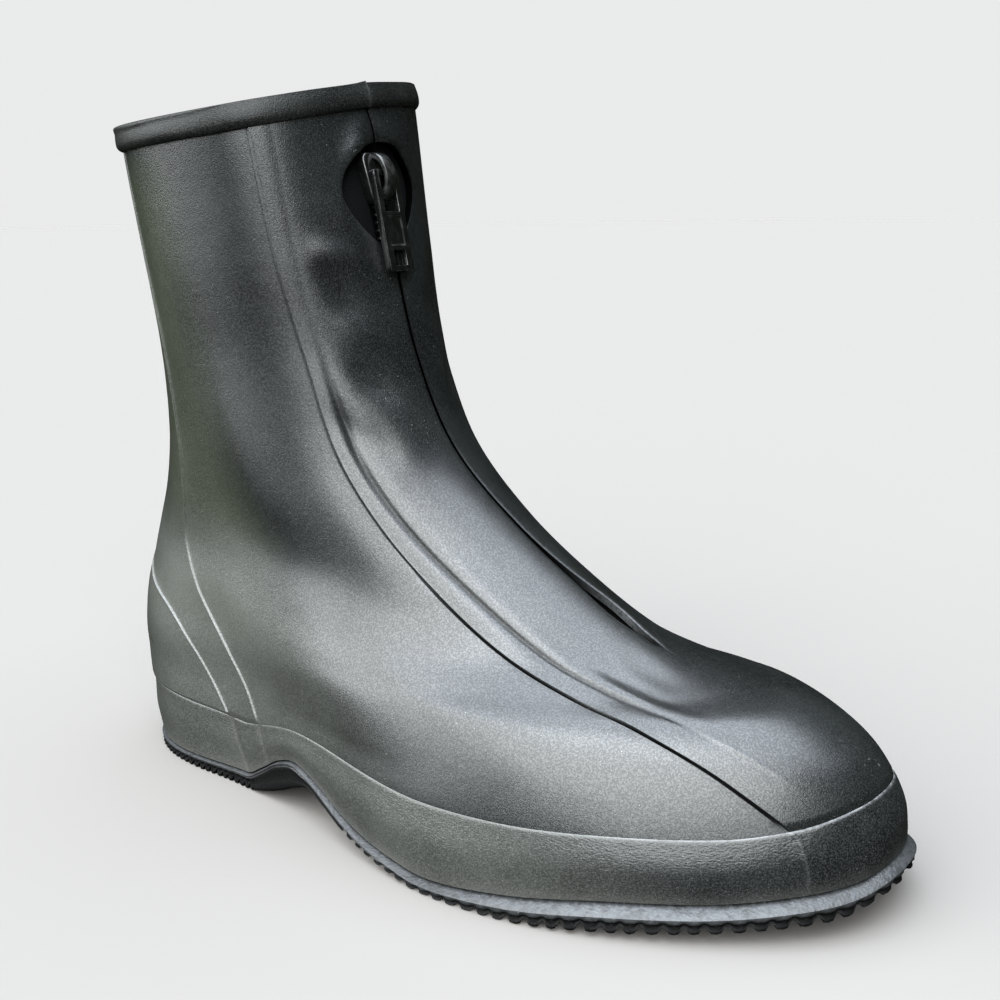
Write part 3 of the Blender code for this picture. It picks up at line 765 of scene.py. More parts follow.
def shell(outer: Array, inner: Array, marks: dict[str, Array], split: bool = False) -> bmesh.types.BMesh:
    """Wall between two lattices, its inner faces in the second material.

    Args:
        outer: Lattice of the outer face.
        inner: Lattice of the inner face.
        marks: Painted values at the lattice's points.
        split: True leaves it open between its two middle columns, along the zip.

    Returns:
        The closed wall.
    """
    columns = outer.shape[1]
    bm = sheet(outer, marks)
    where = bm.verts.layers.int["place"]
    if split:
        middle = {columns // 2 - 1, columns // 2}
        between = [face for face in bm.faces if {vert[where] % columns for vert in face.verts} == middle]
        bmesh.ops.delete(bm, geom=between, context="FACES")
    bmesh.ops.remove_doubles(bm, verts=bm.verts[:], dist=MERGE)
    outside = set(bm.verts)
    bmesh.ops.solidify(bm, geom=bm.faces[:], thickness=FIRST_WALL)
    flat = LAST.placed(inner.reshape(-1, 3))
    where = bm.verts.layers.int["place"]
    for vert in bm.verts:
        if vert not in outside:
            vert.co = flat[vert[where]]
    for face in bm.faces:
        face.material_index = int(not any(vert in outside for vert in face.verts))
    bmesh.ops.recalc_face_normals(bm, faces=bm.faces[:])
    return bm


class Piece:
    """One visible piece of the boot, which stands for one CAD node."""

    name: ClassVar[str]
    node: ClassVar[str]
    slot: ClassVar[Slot]
    body: ClassVar[Body] = Body.BOOT
    smooth_angle: ClassVar[float] = 40.0

    def build(self) -> bmesh.types.BMesh:
        """Shape the piece in the frame's own place."""
        raise NotImplementedError

    def dress(self) -> list[bpy.types.Material]:
        """Materials of the piece, in the order of its faces' numbers."""
        raise NotImplementedError

    def add(self) -> bpy.types.Object:
        """Put the piece in the scene, riding on its body.

        Returns:
            The piece's object.
        """
        bm = self.build()
        mesh = bpy.data.meshes.new(self.name)
        bm.to_mesh(mesh)
        bm.free()
        mesh.shade_smooth()
        mesh.set_sharp_from_angle(angle=math.radians(self.smooth_angle))
        for material in self.dress():
            mesh.materials.append(material)
        piece = bpy.data.objects.new(self.name, mesh)
        bpy.context.scene.collection.objects.link(piece)
        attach(piece, self.body.value)
        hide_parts(self.node)
        mesh.calc_loop_triangles()
        LOG.info("%s: %d triangles", self.name, len(mesh.loop_triangles))
        return piece


@dataclass(frozen=True)
class Crease:
    """Soft trough (negative depth) or ridge along a line of (row, girth) places."""

    places: tuple[tuple[float, float], ...]
    depth: float
    width: float
    beads: ClassVar[int] = 14
    tail: ClassVar[float] = 0.04

    def relief(self, points: Array) -> Array:
        """Height of the crease, fading at both ends.

        Args:
            points: Points on the last.

        Returns:
            Heights at those points.
        """
        count = len(self.places)
        steps = np.linspace(0, count - 1, self.beads * (count - 1) + 1)
        rows, girths = (np.interp(steps, range(count), column) for column in zip(*self.places))
        fade = np.sqrt(np.sin(np.pi * np.linspace(self.tail, 1 - self.tail, len(steps))))
        height = np.zeros(points.shape[:-1])
        for row, girth, share in zip(rows, girths, fade):
            gap = np.sum((points - LAST.ring(row).at(np.array(girth))) ** 2, axis=-1)
            height = np.maximum(height, share * np.exp(-gap / self.width ** 2))
        return self.depth * height


# Main creases of the rubber, placed on the lateral side and over the vamp
CREASES = (
    Crease(((7.85, -127), (7.5, -112), (7.25, -98), (6.95, -82), (6.65, -67)), -2.5, 13.0),
    Crease(((5.9, -185), (5.0, -185), (4.4, -178), (4.0, -165), (3.8, -150)), 2.2, 15.0),
    Crease(((10.85, -29), (10.62, -24), (10.5, -19)), -1.6, 4.6),
    Crease(((11.05, -30), (10.98, -23), (10.9, -15)), 1.5, 4.6),
    Crease(((10.40, -27), (10.28, -22), (10.2, -17)), 1.0, 3.6),
    Crease(((9.95, -26), (9.8, -20), (9.65, -16)), -1.5, 4.4),
    Crease(((9.45, -37), (9.2, -33), (8.95, -27)), -0.9, 4.0),
    Crease(((9.55, -24), (9.3, -19), (9.0, -16)), 0.8, 4.5),
    Crease(((5.9, -46), (5.35, -48), (4.8, -47)), -0.35, 3.0),
    Crease(((5.75, -36), (5.2, -38), (4.5, -38)), 0.4, 3.0),
    Crease(((5.95, -28), (5.4, -30), (4.8, -32)), -0.4, 3.2),
    Crease(((6.1, -14), (5.7, -17), (5.3, -19)), -0.5, 5.0),
    Crease(((11.60, -14.5), (11.72, -9), (11.80, -3)), 2.6, 4.0),
    Crease(((11.80, 2.5), (11.74, 6), (11.66, 11)), 2.2, 3.8),
    Crease(((11.35, -22), (11.2, -19), (11.05, -14)), 0.8, 3.6),
    Crease(((7.4, 9), (6.8, 11), (6.3, 13)), -0.8, 4.0),
    Crease(((10.7, 24), (10.5, 20), (10.3, 16)), -1.4, 5.0),
    Crease(((9.9, 26), (9.7, 20), (9.5, 15)), -1.2, 5.0),
)


@dataclass
class Upper(Piece):
    """Hollow rubber upper with its front panel, back stay, heel counter and zip opening."""

    name: ClassVar[str] = "upper_skin"
    node: ClassVar[str] = "upper"
    slot: ClassVar[Slot] = Slot.UPPER

    wall: float = 2.0
    panel_rise: float = 0.7
    stay_rise: float = 0.7
    counter_rise: float = 0.6
    counter_top_row: float = 6.4
    step_run: float = 0.8
    steps_start: tuple[float, float] = (FOXING_ROW + 0.02, 0.05)
    shaft_start: tuple[float, float] = (6.5, 1.5)
    slit: float = 0.5
    slit_ramp: float = 0.2
    pinch: float = 0.55
    pinch_rows: tuple[float, float] = (11.6, 0.15)
    gape: Swell = Swell(1.4, 6.75, 0.35)
    lip: Swell = Swell(2.0, 6.9, 0.7)
    lip_reach: float = 8.0
    hole_half: float = 18.5
    hole_levels: tuple[float, float, float] = (194.0, 216.0, 231.5)
    hole_flare: float = 1.6
    hole_lines: tuple[int, int] = (16, 14)
    hidden_rows: tuple[float, ...] = (0.0, 0.7, 1.4)
    first_row: float = 1.9
    foot_step: float = 0.10
    shaft_step: float = 0.09
    rim_lines: int = 12
    zone_columns: tuple[int, ...] = (24, 13, 6, 9, 44, 9, 8, 9, 14)
    slit_crowd: float = 1.5
    seam_reach: float = 1.3
    creases_start: tuple[float, float] = (2.3, 0.6)
    creases_end: tuple[float, float] = (12.15, -0.3)

    # Edge of the tape as it shows through the panel: its line, ridge, trough, strip and lower end
    tape_line: tuple[tuple[float, float], ...] = (
        (2.0, 26.0), (3.1, 34.0), (3.9, 41.0), (5.1, 42.0), (6.2, 41.0), (7.1, 40.0), (8.15, 39.0),
        (9.3, 36.0), (10.05, 36.0), (10.7, 38.0), (12.0, 40.0), (13.0, 40.0))
    tape_start: tuple[float, float] = (3.6, 1.4)
    tape_fade: tuple[float, float] = (9.2, 1.2)
    tape_faded: float = 0.85
    tape_reach: tuple[float, float] = (6.0, 2.2)
    tape_ridge: Swell = Swell(0.35, -6.0, 4.0)
    tape_trough: Swell = Swell(-0.75, 0.0, 1.4)
    tape_strip: tuple[float, float] = (0.3, 4.0)
    tape_end: Swell = Swell(0.25, -1.5, 1.2)
    tape_end_rows: Swell = Swell(1.0, 3.5, 0.5)

    # Beads and cuts along the seams, and the flaps' round edges
    panel_bead: Swell = Swell(0.18, 0.1, 0.6)
    panel_cut: Swell = Swell(-0.8, -0.6, 0.45)
    panel_cut_start: tuple[float, float] = (FOXING_ROW, 0.4)
    seam_bead: Swell = Swell(0.08, 0.2, 0.6)
    edge_round: float = 0.35
    edge_reach: float = 0.5

    # Paint: worn lines, painted highlights on the lip and the tape's end, painted shade in the panel seam's
    # cut, the tape's trough and the slit, grey film with painted sheen, painted greenish reflection and
    # gleam
    panel_wear: Swell = Swell(0.2, 0.2, 0.4)
    seam_wear: Swell = Swell(0.16, 0.1, 0.3)
    # Painted highlights: pale lines along the medial lip's edge and the tape's lower end
    lip_highlight: Swell = Swell(0.9, 0.2, 0.7)
    tape_end_highlight: Swell = Swell(0.3, -1.5, 1.0)
    # Painted shade: dark lines in the panel seam's cut, the tape's trough and along the slit's edges
    panel_dark: Swell = Swell(1.0, -0.55, 0.5)
    panel_dark_start: tuple[float, float] = (FOXING_ROW, 0.2)
    tape_dark: Swell = Swell(0.6, 0.0, 0.8)
    slit_dark_reach: float = 0.4
    gape_shows: tuple[float, float] = (6.7, 0.5)
    gape_light: float = 0.8
    bloom_start: tuple[float, float] = (0.35, 0.4)
    bloom_shaft_loss: float = 0.88
    # Painted sheen: more grey film over the quarter's back, where a highlight falls
    painted_sheen_rows: Swell = Swell(0.7, 5.6, 1.2)
    painted_sheen_share: tuple[float, float] = (0.68, 0.16)
    # Painted reflection: greenish tint on the shaft's lateral side
    painted_reflection_start: tuple[float, float] = (0.45, 0.2)
    painted_reflection_top: tuple[float, float] = (12.2, -0.8)
    back_start: tuple[float, float] = (0.74, 0.2)
    medial_start: tuple[float, float] = (4.0, 8.0)
    medial_loss: float = 0.85
    dull_rows: tuple[float, float] = (9.9, 1.9)
    dull_start: tuple[float, float] = (0.25, 0.2)
    dull_front: float = 0.4
    dull_loss: float = 0.95

    def slit_half(self, row: float) -> float:
        """Half width of the front opening.

        Args:
            row: Row on the last.

        Returns:
            Half width in millimetres, with the slider's hole in it.
        """
        if row <= ZIP_END_ROW:
            return 0.0
        slit = self.slit * (1 - self.pinch * rise(row, *self.pinch_rows))
        half = slit * self.unzipped(row) + self.gape.at(row)
        height = LAST.section(row).front_z
        tip, middle, top = self.hole_levels
        if tip < height <= middle:
            part = 1 - (height - tip) / (middle - tip)
            half = max(half, self.hole_half * (1 - part ** self.hole_flare))
        elif middle < height < top:
            part = (height - middle) / (top - middle)
            half = max(half, self.hole_half * math.sqrt(1 - part ** 2))
        return float(half)

    def unzipped(self, row: float) -> float:
        """How far a row lies into the slit, from 0 at the zip's end to 1."""
        return rise(row, ZIP_END_ROW, self.slit_ramp)

    def shaft(self, row: float) -> float:
        """How far up a row lies, from 0 on the foot to 1 on the shaft."""
        return rise(row, *self.shaft_start)

    def counter(self, row: float) -> float:
        """How much of the heel counter there is at a row."""
        return smooth(self.counter_top_row - row)

    def tape(self, row: float) -> float:
        """Girth of the tape's edge at a row."""
        return float(np.interp(row, *zip(*self.tape_line)))

    def tape_shows(self, row: float) -> float:
        """How clearly the tape's edge shows through the panel at a row."""
        return float(rise(row, *self.tape_start) * (1 - self.tape_faded * rise(row, *self.tape_fade)))

    def rows(self) -> list[float]:
        """Rows of the mesh from feather edge to rim.

        Returns:
            Rows, closer together at the slider's hole.
        """
        tip, middle, top = self.hole_levels
        lower, upper = self.hole_lines
        dome = middle + (top - middle) * np.sin(np.linspace(0, np.pi / 2, upper))
        hole = [LAST.front_row(height) for height in [*np.linspace(tip, middle, lower)[:-1], *dome]]
        foot = np.arange(self.first_row, ZIP_END_ROW, self.foot_step)
        shaft = np.arange(ZIP_END_ROW, hole[0] - self.shaft_step / 3, self.shaft_step)
        rim = np.linspace(hole[-1] + self.foot_step / 2, RIM_ROW, self.rim_lines)
        return [*self.hidden_rows, *foot, *shaft, *hole, *rim]

    def side(self, row: float, half: float) -> Array:
        """Girths of one side's columns from the slit to the back.

        Args:
            row: Row on the last.
            half: Half girth of that side.

        Returns:
            Girths, closer together at the slit, the tape's ridge and the seams.
        """
        section, tape, reach = LAST.section(row), self.tape(row), self.seam_reach
        stops = [self.slit_half(row), tape - self.tape_reach[0], tape + self.tape_reach[1]]
        for seam in (section.panel, half - section.stay, half - section.counter):
            stops += [seam - reach, seam + reach]
        stops.append(half)
        girths = [stops[0]]
        for zone, (start, end, count) in enumerate(zip(stops, stops[1:], self.zone_columns)):
            share = np.arange(1, count + 1) / count
            girths += list(start + (end - start) * (share ** self.slit_crowd if zone == 0 else share))
        return np.array(girths)

    def columns(self, row: float) -> Array:
        """Signed girths from the lateral back round the front to the medial back."""
        ring = LAST.ring(row)
        return np.concatenate([-self.side(row, ring.lateral)[::-1], self.side(row, ring.medial)])

    def seams(self, row: float, girths: Array) -> tuple[Array, Array, Array]:
        """Signed ways past the seams, positive on the overlay.

        Args:
            row: Row on the last.
            girths: Signed girths.

        Returns:
            Ways past the panel's, the stay's and the counter's seam.
        """
        section = LAST.section(row)
        way, half = np.abs(girths), LAST.ring(row).half(girths)
        return section.panel - way, way - half + section.stay, way - half + section.counter

    def steps(self, row: float, girths: Array) -> Array:
        """Height of the overlays' steps.

        Args:
            row: Row on the last.
            girths: Signed girths.

        Returns:
            Heights in millimetres.
        """
        panel, stay, counter = (smooth(way / self.step_run + 0.5) for way in self.seams(row, girths))
        high = self.panel_rise * panel + self.stay_rise * stay
        high = high + self.counter_rise * counter * self.counter(row)
        return rise(row, *self.steps_start) * high

    def lift(self, row: float, girths: Array) -> Array:
        """Lift of the medial flap's edge beside the lower end of the zip."""
        lifted = self.lip.at(row) * bell(girths, 0.0, self.lip_reach)
        return np.where((girths >= 0) & (row > ZIP_END_ROW), lifted, 0.0)

    def relief(self, row: float, girths: Array) -> Array:
        """Fine form over the steps: seam beads, the tape's trough and the flaps' round edges.

        Args:
            row: Row on the last.
            girths: Signed girths.

        Returns:
            Heights in millimetres.
        """
        panel, stay, counter = self.seams(row, girths)
        way, tape, shaft = np.abs(girths), self.tape(row), self.shaft(row)
        cut = self.panel_cut.at(panel) * (1 - shaft) * rise(row, *self.panel_cut_start)
        bead = self.panel_bead.at(panel) * shaft + cut
        bead = bead + self.seam_bead.at(stay) + self.counter(row) * self.seam_bead.at(counter)
        strip, strip_wide = self.tape_strip
        ridge = self.tape_ridge.at(way - tape) + self.tape_trough.at(way - tape)
        ridge = ridge + strip * bell(panel, (LAST.section(row).panel - tape) / 2, strip_wide)
        end = self.tape_end.at(way - tape) * self.tape_end_rows.at(row)
        round_edge = self.edge_round * np.exp(-(way - self.slit_half(row)) / self.edge_reach)
        return bead + self.tape_shows(row) * ridge + end - self.unzipped(row) * round_edge

    def lines(self, row: float, girths: Array) -> tuple[Array, Array]:
        """Paint along the seams and edges of one row.

        Args:
            row: Row on the last.
            girths: Signed girths.

        Returns:
            Worn lines with painted highlights, and painted shade in the panel seam's cut, the tape's trough
            and the slit, from 0 to 1.
        """
        panel, stay, counter = self.seams(row, girths)
        way, shaft, gape = np.abs(girths), self.shaft(row), bell(row, *self.gape_shows)
        past_tape, edge = way - self.tape(row), way - self.slit_half(row)
        worn = self.panel_wear.at(panel) * shaft + self.seam_wear.at(stay)
        worn = worn + self.counter(row) * self.seam_wear.at(counter)
        # Painted highlights along the medial lip's edge and the tape's lower end
        worn = worn + self.lip_highlight.at(edge) * gape * (girths > 0)
        worn = worn + self.tape_end_highlight.at(past_tape) * self.tape_end_rows.at(row)
        # Painted shade in the panel seam's cut, the tape's trough and along the slit
        dark = (1 - shaft) * rise(row, *self.panel_dark_start) * self.panel_dark.at(panel)
        dark = dark + self.tape_shows(row) * self.tape_dark.at(past_tape)
        slit = (1 - self.gape_light * gape) * self.unzipped(row)
        dark = dark + slit * np.exp(-edge / self.slit_dark_reach)
        return np.clip(worn, 0, 1), np.clip(dark, 0, 1)

    def tints(self, row: float, girths: Array) -> tuple[Array, Array, Array]:
        """Paint over the surface of one row.

        Args:
            row: Row on the last.
            girths: Signed girths.

        Returns:
            Grey film where the rubber has bloomed, with painted sheen over the quarter's back, a painted
            greenish reflection on the shaft's lateral side, and gleam.
        """
        share, shaft = np.abs(girths) / LAST.ring(row).half(girths), self.shaft(row)
        before_back = 1 - rise(share, *self.back_start)
        # Painted sheen: the grey film grows over the quarter's back to stand for a highlight
        painted_sheen = 1 + self.painted_sheen_rows.at(row) * bell(share, *self.painted_sheen_share)
        bloom_and_sheen = rise(share, *self.bloom_start) * (1 - self.bloom_shaft_loss * shaft) * painted_sheen
        # Painted reflection: greenish tint on the lateral shaft, fading toward the front, the back and the
        # rim
        painted_reflection = rise(share, *self.painted_reflection_start) * before_back * (girths < 0)
        painted_reflection = painted_reflection * shaft * rise(row, *self.painted_reflection_top)
        dull = self.dull_front + (1 - self.dull_front) * rise(share, *self.dull_start)
        medial = 1 - self.medial_loss * rise(girths, *self.medial_start) * before_back
        return bloom_and_sheen, painted_reflection, (1 - self.dull_loss * dull * rise(row, *self.dull_rows)) * medial

    def marks(self, rows: Sequence[float], girths: Array) -> dict[str, Array]:
        """Paint of the whole lattice, by the marks' names."""
        painted = [(*self.lines(row, line), *self.tints(row, line)) for row, line in zip(rows, girths)]
        return dict(zip(("edge", "painted_shade", "bloom_and_sheen", "painted_reflection", "gleam"), map(np.array, zip(*painted))))

    def build(self) -> bmesh.types.BMesh:
        """Shape the wall with its creases.

        Returns:
            The wall, open along the zip.
        """
        rows = np.array(self.rows())
        girths = np.array([self.columns(row) for row in rows])
        base = np.array([LAST.ring(row).at(line) for row, line in zip(rows, girths)])
        shown = rise(rows, *self.creases_start) * rise(rows, *self.creases_end)
        folds = sum(crease.relief(base) for crease in CREASES) * shown[:, None]
        outer, inner = [], []
        for row, line, fold in zip(rows, girths, folds):
            lift = self.lift(row, line) + fold
            outer.append(LAST.points(row, line, self.steps(row, line) + self.relief(row, line) + lift))
            inner.append(LAST.points(row, line, lift - self.wall))
        return shell(np.array(outer), np.array(inner), self.marks(rows, girths), split=True)

    def dress(self) -> list[bpy.types.Material]:
        """Pebbled rubber outside, knitted lining inside."""
        return [UPPER_RUBBER.material(), LINING.material()]


@dataclass
class Foxing(Piece):
    """Rubber strip round the foot, through which the upper's seams show."""

    name: ClassVar[str] = "foxing_strip"
    node: ClassVar[str] = "foxing"
    slot: ClassVar[Slot] = Slot.FOXING

    upper: Upper
    thick: float = 2.0
    gap: float = 0.3
    skive: float = 1.35
    skive_row: float = 0.9
    top_row: float = 1.97
    lines: int = 22
    crowd: float = 1.7
    rim_rows: float = 0.035
    rim_round: float = 0.3
    feather_run: float = 0.3
    panel_line: Swell = Swell(0.22, 0.0, 0.8)
    panel_step: float = 0.25
    panel_run: float = 3.0
    seam_dip: Swell = Swell(-0.3, 0.0, 1.8)
    line_waves: float = 17.0
    toe_wear: tuple[float, float] = (40.0, 90.0)
    panel_wear: Swell = Swell(0.15, 0.0, 0.5)
    seam_dirt: Swell = Swell(0.2, 0.0, 1.2)
    low_dirt: Swell = Swell(0.15, 0.0, 0.25)
    # Grey film toward the heel, which also lightens it as painted sheen
    bloom_and_sheen: float = 0.7
    bloom_start: tuple[float, float] = (0.15, 0.25)

    def build(self) -> bmesh.types.BMesh:
        """Shape the strip with a rounded top edge.

        Returns:
            The closed strip.
        """
        rows = self.top_row * (1 - (1 - np.linspace(0, 1, self.lines)) ** self.crowd)
        girths = np.array([self.upper.columns(row) for row in rows])
        outer, inner, edges, dirts, blooms = [], [], [], [], []
        for row, line in zip(rows, girths):
            panel, stay, counter = self.upper.seams(row, line)
            over = rise(row, 0.0, self.feather_run)
            rim = np.exp(-(self.top_row - row) / self.rim_rows)
            wavy = 0.75 + 0.25 * np.sin(row * self.line_waves)
            step = self.panel_step * smooth(panel / self.panel_run + 0.5)
            show = over * (wavy * self.panel_line.at(panel) + step
                           + self.seam_dip.at(stay) + self.seam_dip.at(counter))
            thick = self.thick - self.skive * rise(row, self.skive_row, self.top_row - self.skive_row)
            outer.append(LAST.points(row, line, thick + show * (1 - rim) - self.rim_round * rim))
            inner.append(LAST.points(row, line, self.gap))
            toe = rise(LAST.ring(row).at(line)[:, 0], *self.toe_wear)
            top = bell(row, self.top_row, self.rim_rows) * (0.1 + 0.75 * toe)
            edges.append(np.clip(top + over * wavy * self.panel_wear.at(panel), 0, 1))
            shade = self.seam_dirt.at(stay) + self.seam_dirt.at(counter)
            dirts.append(self.low_dirt.at(row) + over * shade)
            blooms.append(self.bloom_and_sheen * rise(np.abs(line) / LAST.ring(row).half(line), *self.bloom_start))
        marks = {"edge": np.array(edges), "dirt": np.array(dirts), "bloom_and_sheen": np.array(blooms)}
        return shell(np.array(outer), np.array(inner), marks)

    def dress(self) -> list[bpy.types.Material]:
        """Duller rubber with a wrinkled grain."""
        return [FOXING_RUBBER.material(), FOXING_RUBBER.material()]


@dataclass
class CollarBand(Piece):
    """Rounded rubber band round the rim, split at the zip."""

    name: ClassVar[str] = "collar_bead"
    node: ClassVar[str] = "collar_band"
    slot: ClassVar[Slot] = Slot.COLLAR

    upper: Upper
    thick: float = 2.0
    gap: float = 0.3
    over_steps: float = 0.2
    lines: int = 20
    overlap: float = 0.8
    overlap_reach: float = 5.0
    square: float = 14.0
    edge_thick: float = 0.5
    hollow: Swell = Swell(-0.25, 0.45, 0.2)
    top_wear: Swell = Swell(0.22, 0.97, 0.05)
    end_wear: float = 0.3
    end_reach: float = 0.7

    def build(self) -> bmesh.types.BMesh:
        """Shape the band with round edges and a lifted lateral end.

        Returns:
            The band, open at the zip.
        """
        share = (1 - np.cos(np.pi * np.linspace(0, 1, self.lines))) / 2
        rows = BAND_ROW + (RIM_ROW - BAND_ROW) * share
        girths = np.array([self.upper.columns(row) for row in rows])
        clear = max(self.upper.panel_rise, self.upper.stay_rise) + self.gap + self.over_steps
        outer, inner, edges = [], [], []
        for part, row, line in zip(share, rows, girths):
            full = 1 - abs(2 * part - 1) ** self.square
            flap = np.where(line < 0, self.overlap * bell(line, 0.0, self.overlap_reach), 0.0)
            wavy = 0.12 * np.sin(line / 9.0) + 0.10 * np.sin(line / 4.3 + 1.0)
            face = clear + flap + (self.thick - self.edge_thick + wavy) * full + self.hollow.at(part)
            outer.append(LAST.points(row, line, face))
            inner.append(LAST.points(row, line, self.upper.steps(row, line) + self.gap + flap))
            end = self.end_wear * np.exp(-(np.abs(line) - self.upper.slit) / self.end_reach)
            edges.append(np.clip(self.top_wear.at(part) + end, 0, 1))
        return shell(np.array(outer), np.array(inner), {"edge": np.array(edges)}, split=True)

    def dress(self) -> list[bpy.types.Material]:
        """Smooth satin rubber."""
        return [COLLAR_RUBBER.material(), COLLAR_RUBBER.material()]


@dataclass
class Outsole(Piece):
    """Moulded outsole: sloped ledge, ribbed edge strip, toothed edge and cross lugs."""

    name: ClassVar[str] = "outsole_tread"
    node: ClassVar[str] = "outsole"
    slot: ClassVar[Slot] = Slot.SOLE
    smooth_angle: ClassVar[float] = 50.0

    foxing_out: float = 2.0
    seat: float = 0.5
    ledge_share: float = 0.34
    strip_edge: float = 1.8
    strip_share: float = 0.28
    side_step: float = 1.1
    tuck_in: float = 1.5
    tooth_deep: float = 2.4
    tooth_share: float = 0.75
    tooth_in: float = 1.1
    pitches: tuple[tuple[float, float], ...] = ((-160.0, 3.3), (-80.0, 3.5), (-12.0, 5.2), (60.0, 5.7),
                                               (120.0, 6.2), (150.0, 6.6))
    tooth_form: tuple[tuple[float, float], ...] = ((0.0, 1.0), (0.13, 0.75), (0.27, 0.12), (0.5, 0.0),
                                                  (0.73, 0.12), (0.87, 0.75))
    ragged: float = 0.12
    ragged_turn: float = 2.4
    least_share: float = 0.002
    waist: tuple[float, float] = (-76.0, -14.0)
    waist_step: float = 1.4
    waist_ramp: float = 3.0
    fore_start: tuple[float, float] = (-10.0, 30.0)
    heel_start: tuple[float, float] = (-70.0, -12.0)
    lug_start: float = 12.0
    lug_pitch: float = 8.0
    lug_long: float = 4.7
    lug_ramp: float = 0.8
    inner_columns: int = 9
    top_columns: int = 5
    toe_wear: tuple[float, float] = (10.0, 90.0)
    tip_clean: tuple[float, float] = (125.0, 20.0)
    # Painted shade over the tread underneath
    tread_dark: float = 0.6

    def edge(self, share: Array, side: float) -> tuple[Array, Array]:
        """Ledge's edge on one side and its inward directions.

        Args:
            share: Shares of that side's half girth from the front.
            side: -1 for lateral, 1 for medial.

        Returns:
            Points of the feather edge moved out to the ledge, and level unit vectors pointing in.
        """
        ring = LAST.ring(0.0)
        half = ring.lateral if side < 0 else ring.medial
        girths = side * share * half
        tangent = (ring.at(girths + 0.5) - ring.at(girths - 0.5))[:, :2]
        tangent /= np.linalg.norm(tangent, axis=1, keepdims=True)
        inward = np.stack([-tangent[:, 1], tangent[:, 0], np.zeros(len(share))], axis=1)
        points = ring.at(girths)
        lip = LAST.station(points[:, 0], "lip")
        return points - (self.foxing_out + lip)[:, None] * inward, inward

    def stations(self) -> tuple[Array, Array]:
        """Places of the lofted loops.

        Returns:
            Shares from the back to the front, and how deep in a gap between teeth each lies.
        """
        ring = LAST.ring(0.0)
        place, shares, gaps = 0.0, [], []
        while place < ring.lateral:
            ragged = self.ragged * math.sin(self.ragged_turn * len(shares))
            along = float(ring.at(np.array(place - ring.lateral))[0])
            if self.waist[0] < along < self.waist[1]:
                shares.append(1 - place / ring.lateral)
                gaps.append(0.0)
                place += self.waist_step
                continue
            pitch = float(np.interp(along, *zip(*self.pitches))) * (1 + ragged)
            for part, gap in self.tooth_form:
                shares.append(1 - (place + part * pitch) / ring.lateral)
                gaps.append(gap * (1 - self.ragged + ragged))
            place += pitch
        keep = np.array(shares) > self.least_share
        return np.append(np.array(shares)[keep], 0.0), np.append(np.array(gaps)[keep], 1.0)

    def lug_gap(self, along: Array) -> Array:
        """Grooves between the cross lugs.

        Args:
            along: Places along the sole.

        Returns:
            How deep in the gap between lugs each place lies, from 0 to 1.
        """
        part = np.mod(along + self.lug_start, self.lug_pitch)
        lug = rise(part, 0.0, self.lug_ramp) * rise(part, self.lug_long, -self.lug_ramp)
        start, end = self.waist
        waist = rise(along, start, self.waist_ramp) * rise(along, end, -self.waist_ramp)
        return (1 - lug) * (1 - waist)

    def profile(self, along: Array, top: Array, gap: Array) -> list[tuple[Array, Array, float, float]]:
        """One side from its seat down to the tread.

        Args:
            along: Places along the sole.
            top: Heights of the seat.
            gap: How deep in a gap between teeth each place lies.

        Returns:
            For each column: way in, height, wear and painted shade.
        """
        floor = LAST.station(along, "floor")
        thick = top - floor
        fore, heel = rise(along, *self.fore_start), rise(along, *self.heel_start)
        ledge = top - np.minimum(LAST.station(along, "fall"), thick * self.ledge_share)
        strip = ledge - np.minimum(self.strip_edge, thick * self.strip_share * (1 - 0.4 * heel))
        recess = strip - 0.4
        deep = np.minimum(self.tooth_deep, (recess - floor) * self.tooth_share)
        bottom = floor + gap * deep
        tuck = LAST.station(along, "lip") + self.tuck_in
        tall, none, rest = ledge - strip, 0 * along, recess - bottom
        step = self.side_step * (0.45 + 0.55 * fore)
        foot = step / 3 + gap * self.tooth_in
        rib = 0.4 * (1 - fore)
        cut = gap * fore
        # Each column's last number is painted shade, darkest on the teeth and the underside
        return [
            (tuck, top, 0.5, 0.0),
            (tuck * 0.55, top + (ledge - top) * 0.42, 0.9, 0.0),
            (tuck * 0.14, top + (ledge - top) * 0.86, 0.9, 0.0),
            (none, ledge - 0.12 * tall, 0.75, 0.0),
            (0.02 + 0.1 * cut, ledge - 0.26 * tall, 0.55, 0.0),
            (rib + 0.25 * cut, ledge - 0.42 * tall, 0.4, 0.0),
            (rib + 0.5 * cut, ledge - 0.58 * tall, 0.35, 0.0),
            (0.05 + 0.75 * cut, ledge - 0.74 * tall, 0.35, 0.0),
            (0.1 + 1.0 * cut, ledge - 0.88 * tall, 0.3, 0.1),
            (0.25 + 0.5 * gap + 0.8 * cut, strip, 0.15, 0.3),
            (0.8 * step + 1.2 * gap, recess - 0.05 * rest, 0.0, 0.8),
            (0.7 * step + 1.4 * gap, recess - 0.3 * rest, 0.0, 0.8),
            (foot + 0.1 + 0.3 * gap, recess - 0.6 * rest, 0.0, 0.7),
            (foot, bottom + 0.2 * rest, 0.0, 0.7),
            (foot + 0.25, bottom + 0.06 * rest, 0.0, 0.7),
            (foot + 0.7, bottom, 0.0, 0.8),
            (none + 4.5, bottom, 0.0, 0.8),
            (none + 8.5, bottom, 0.0, 0.8),
        ]

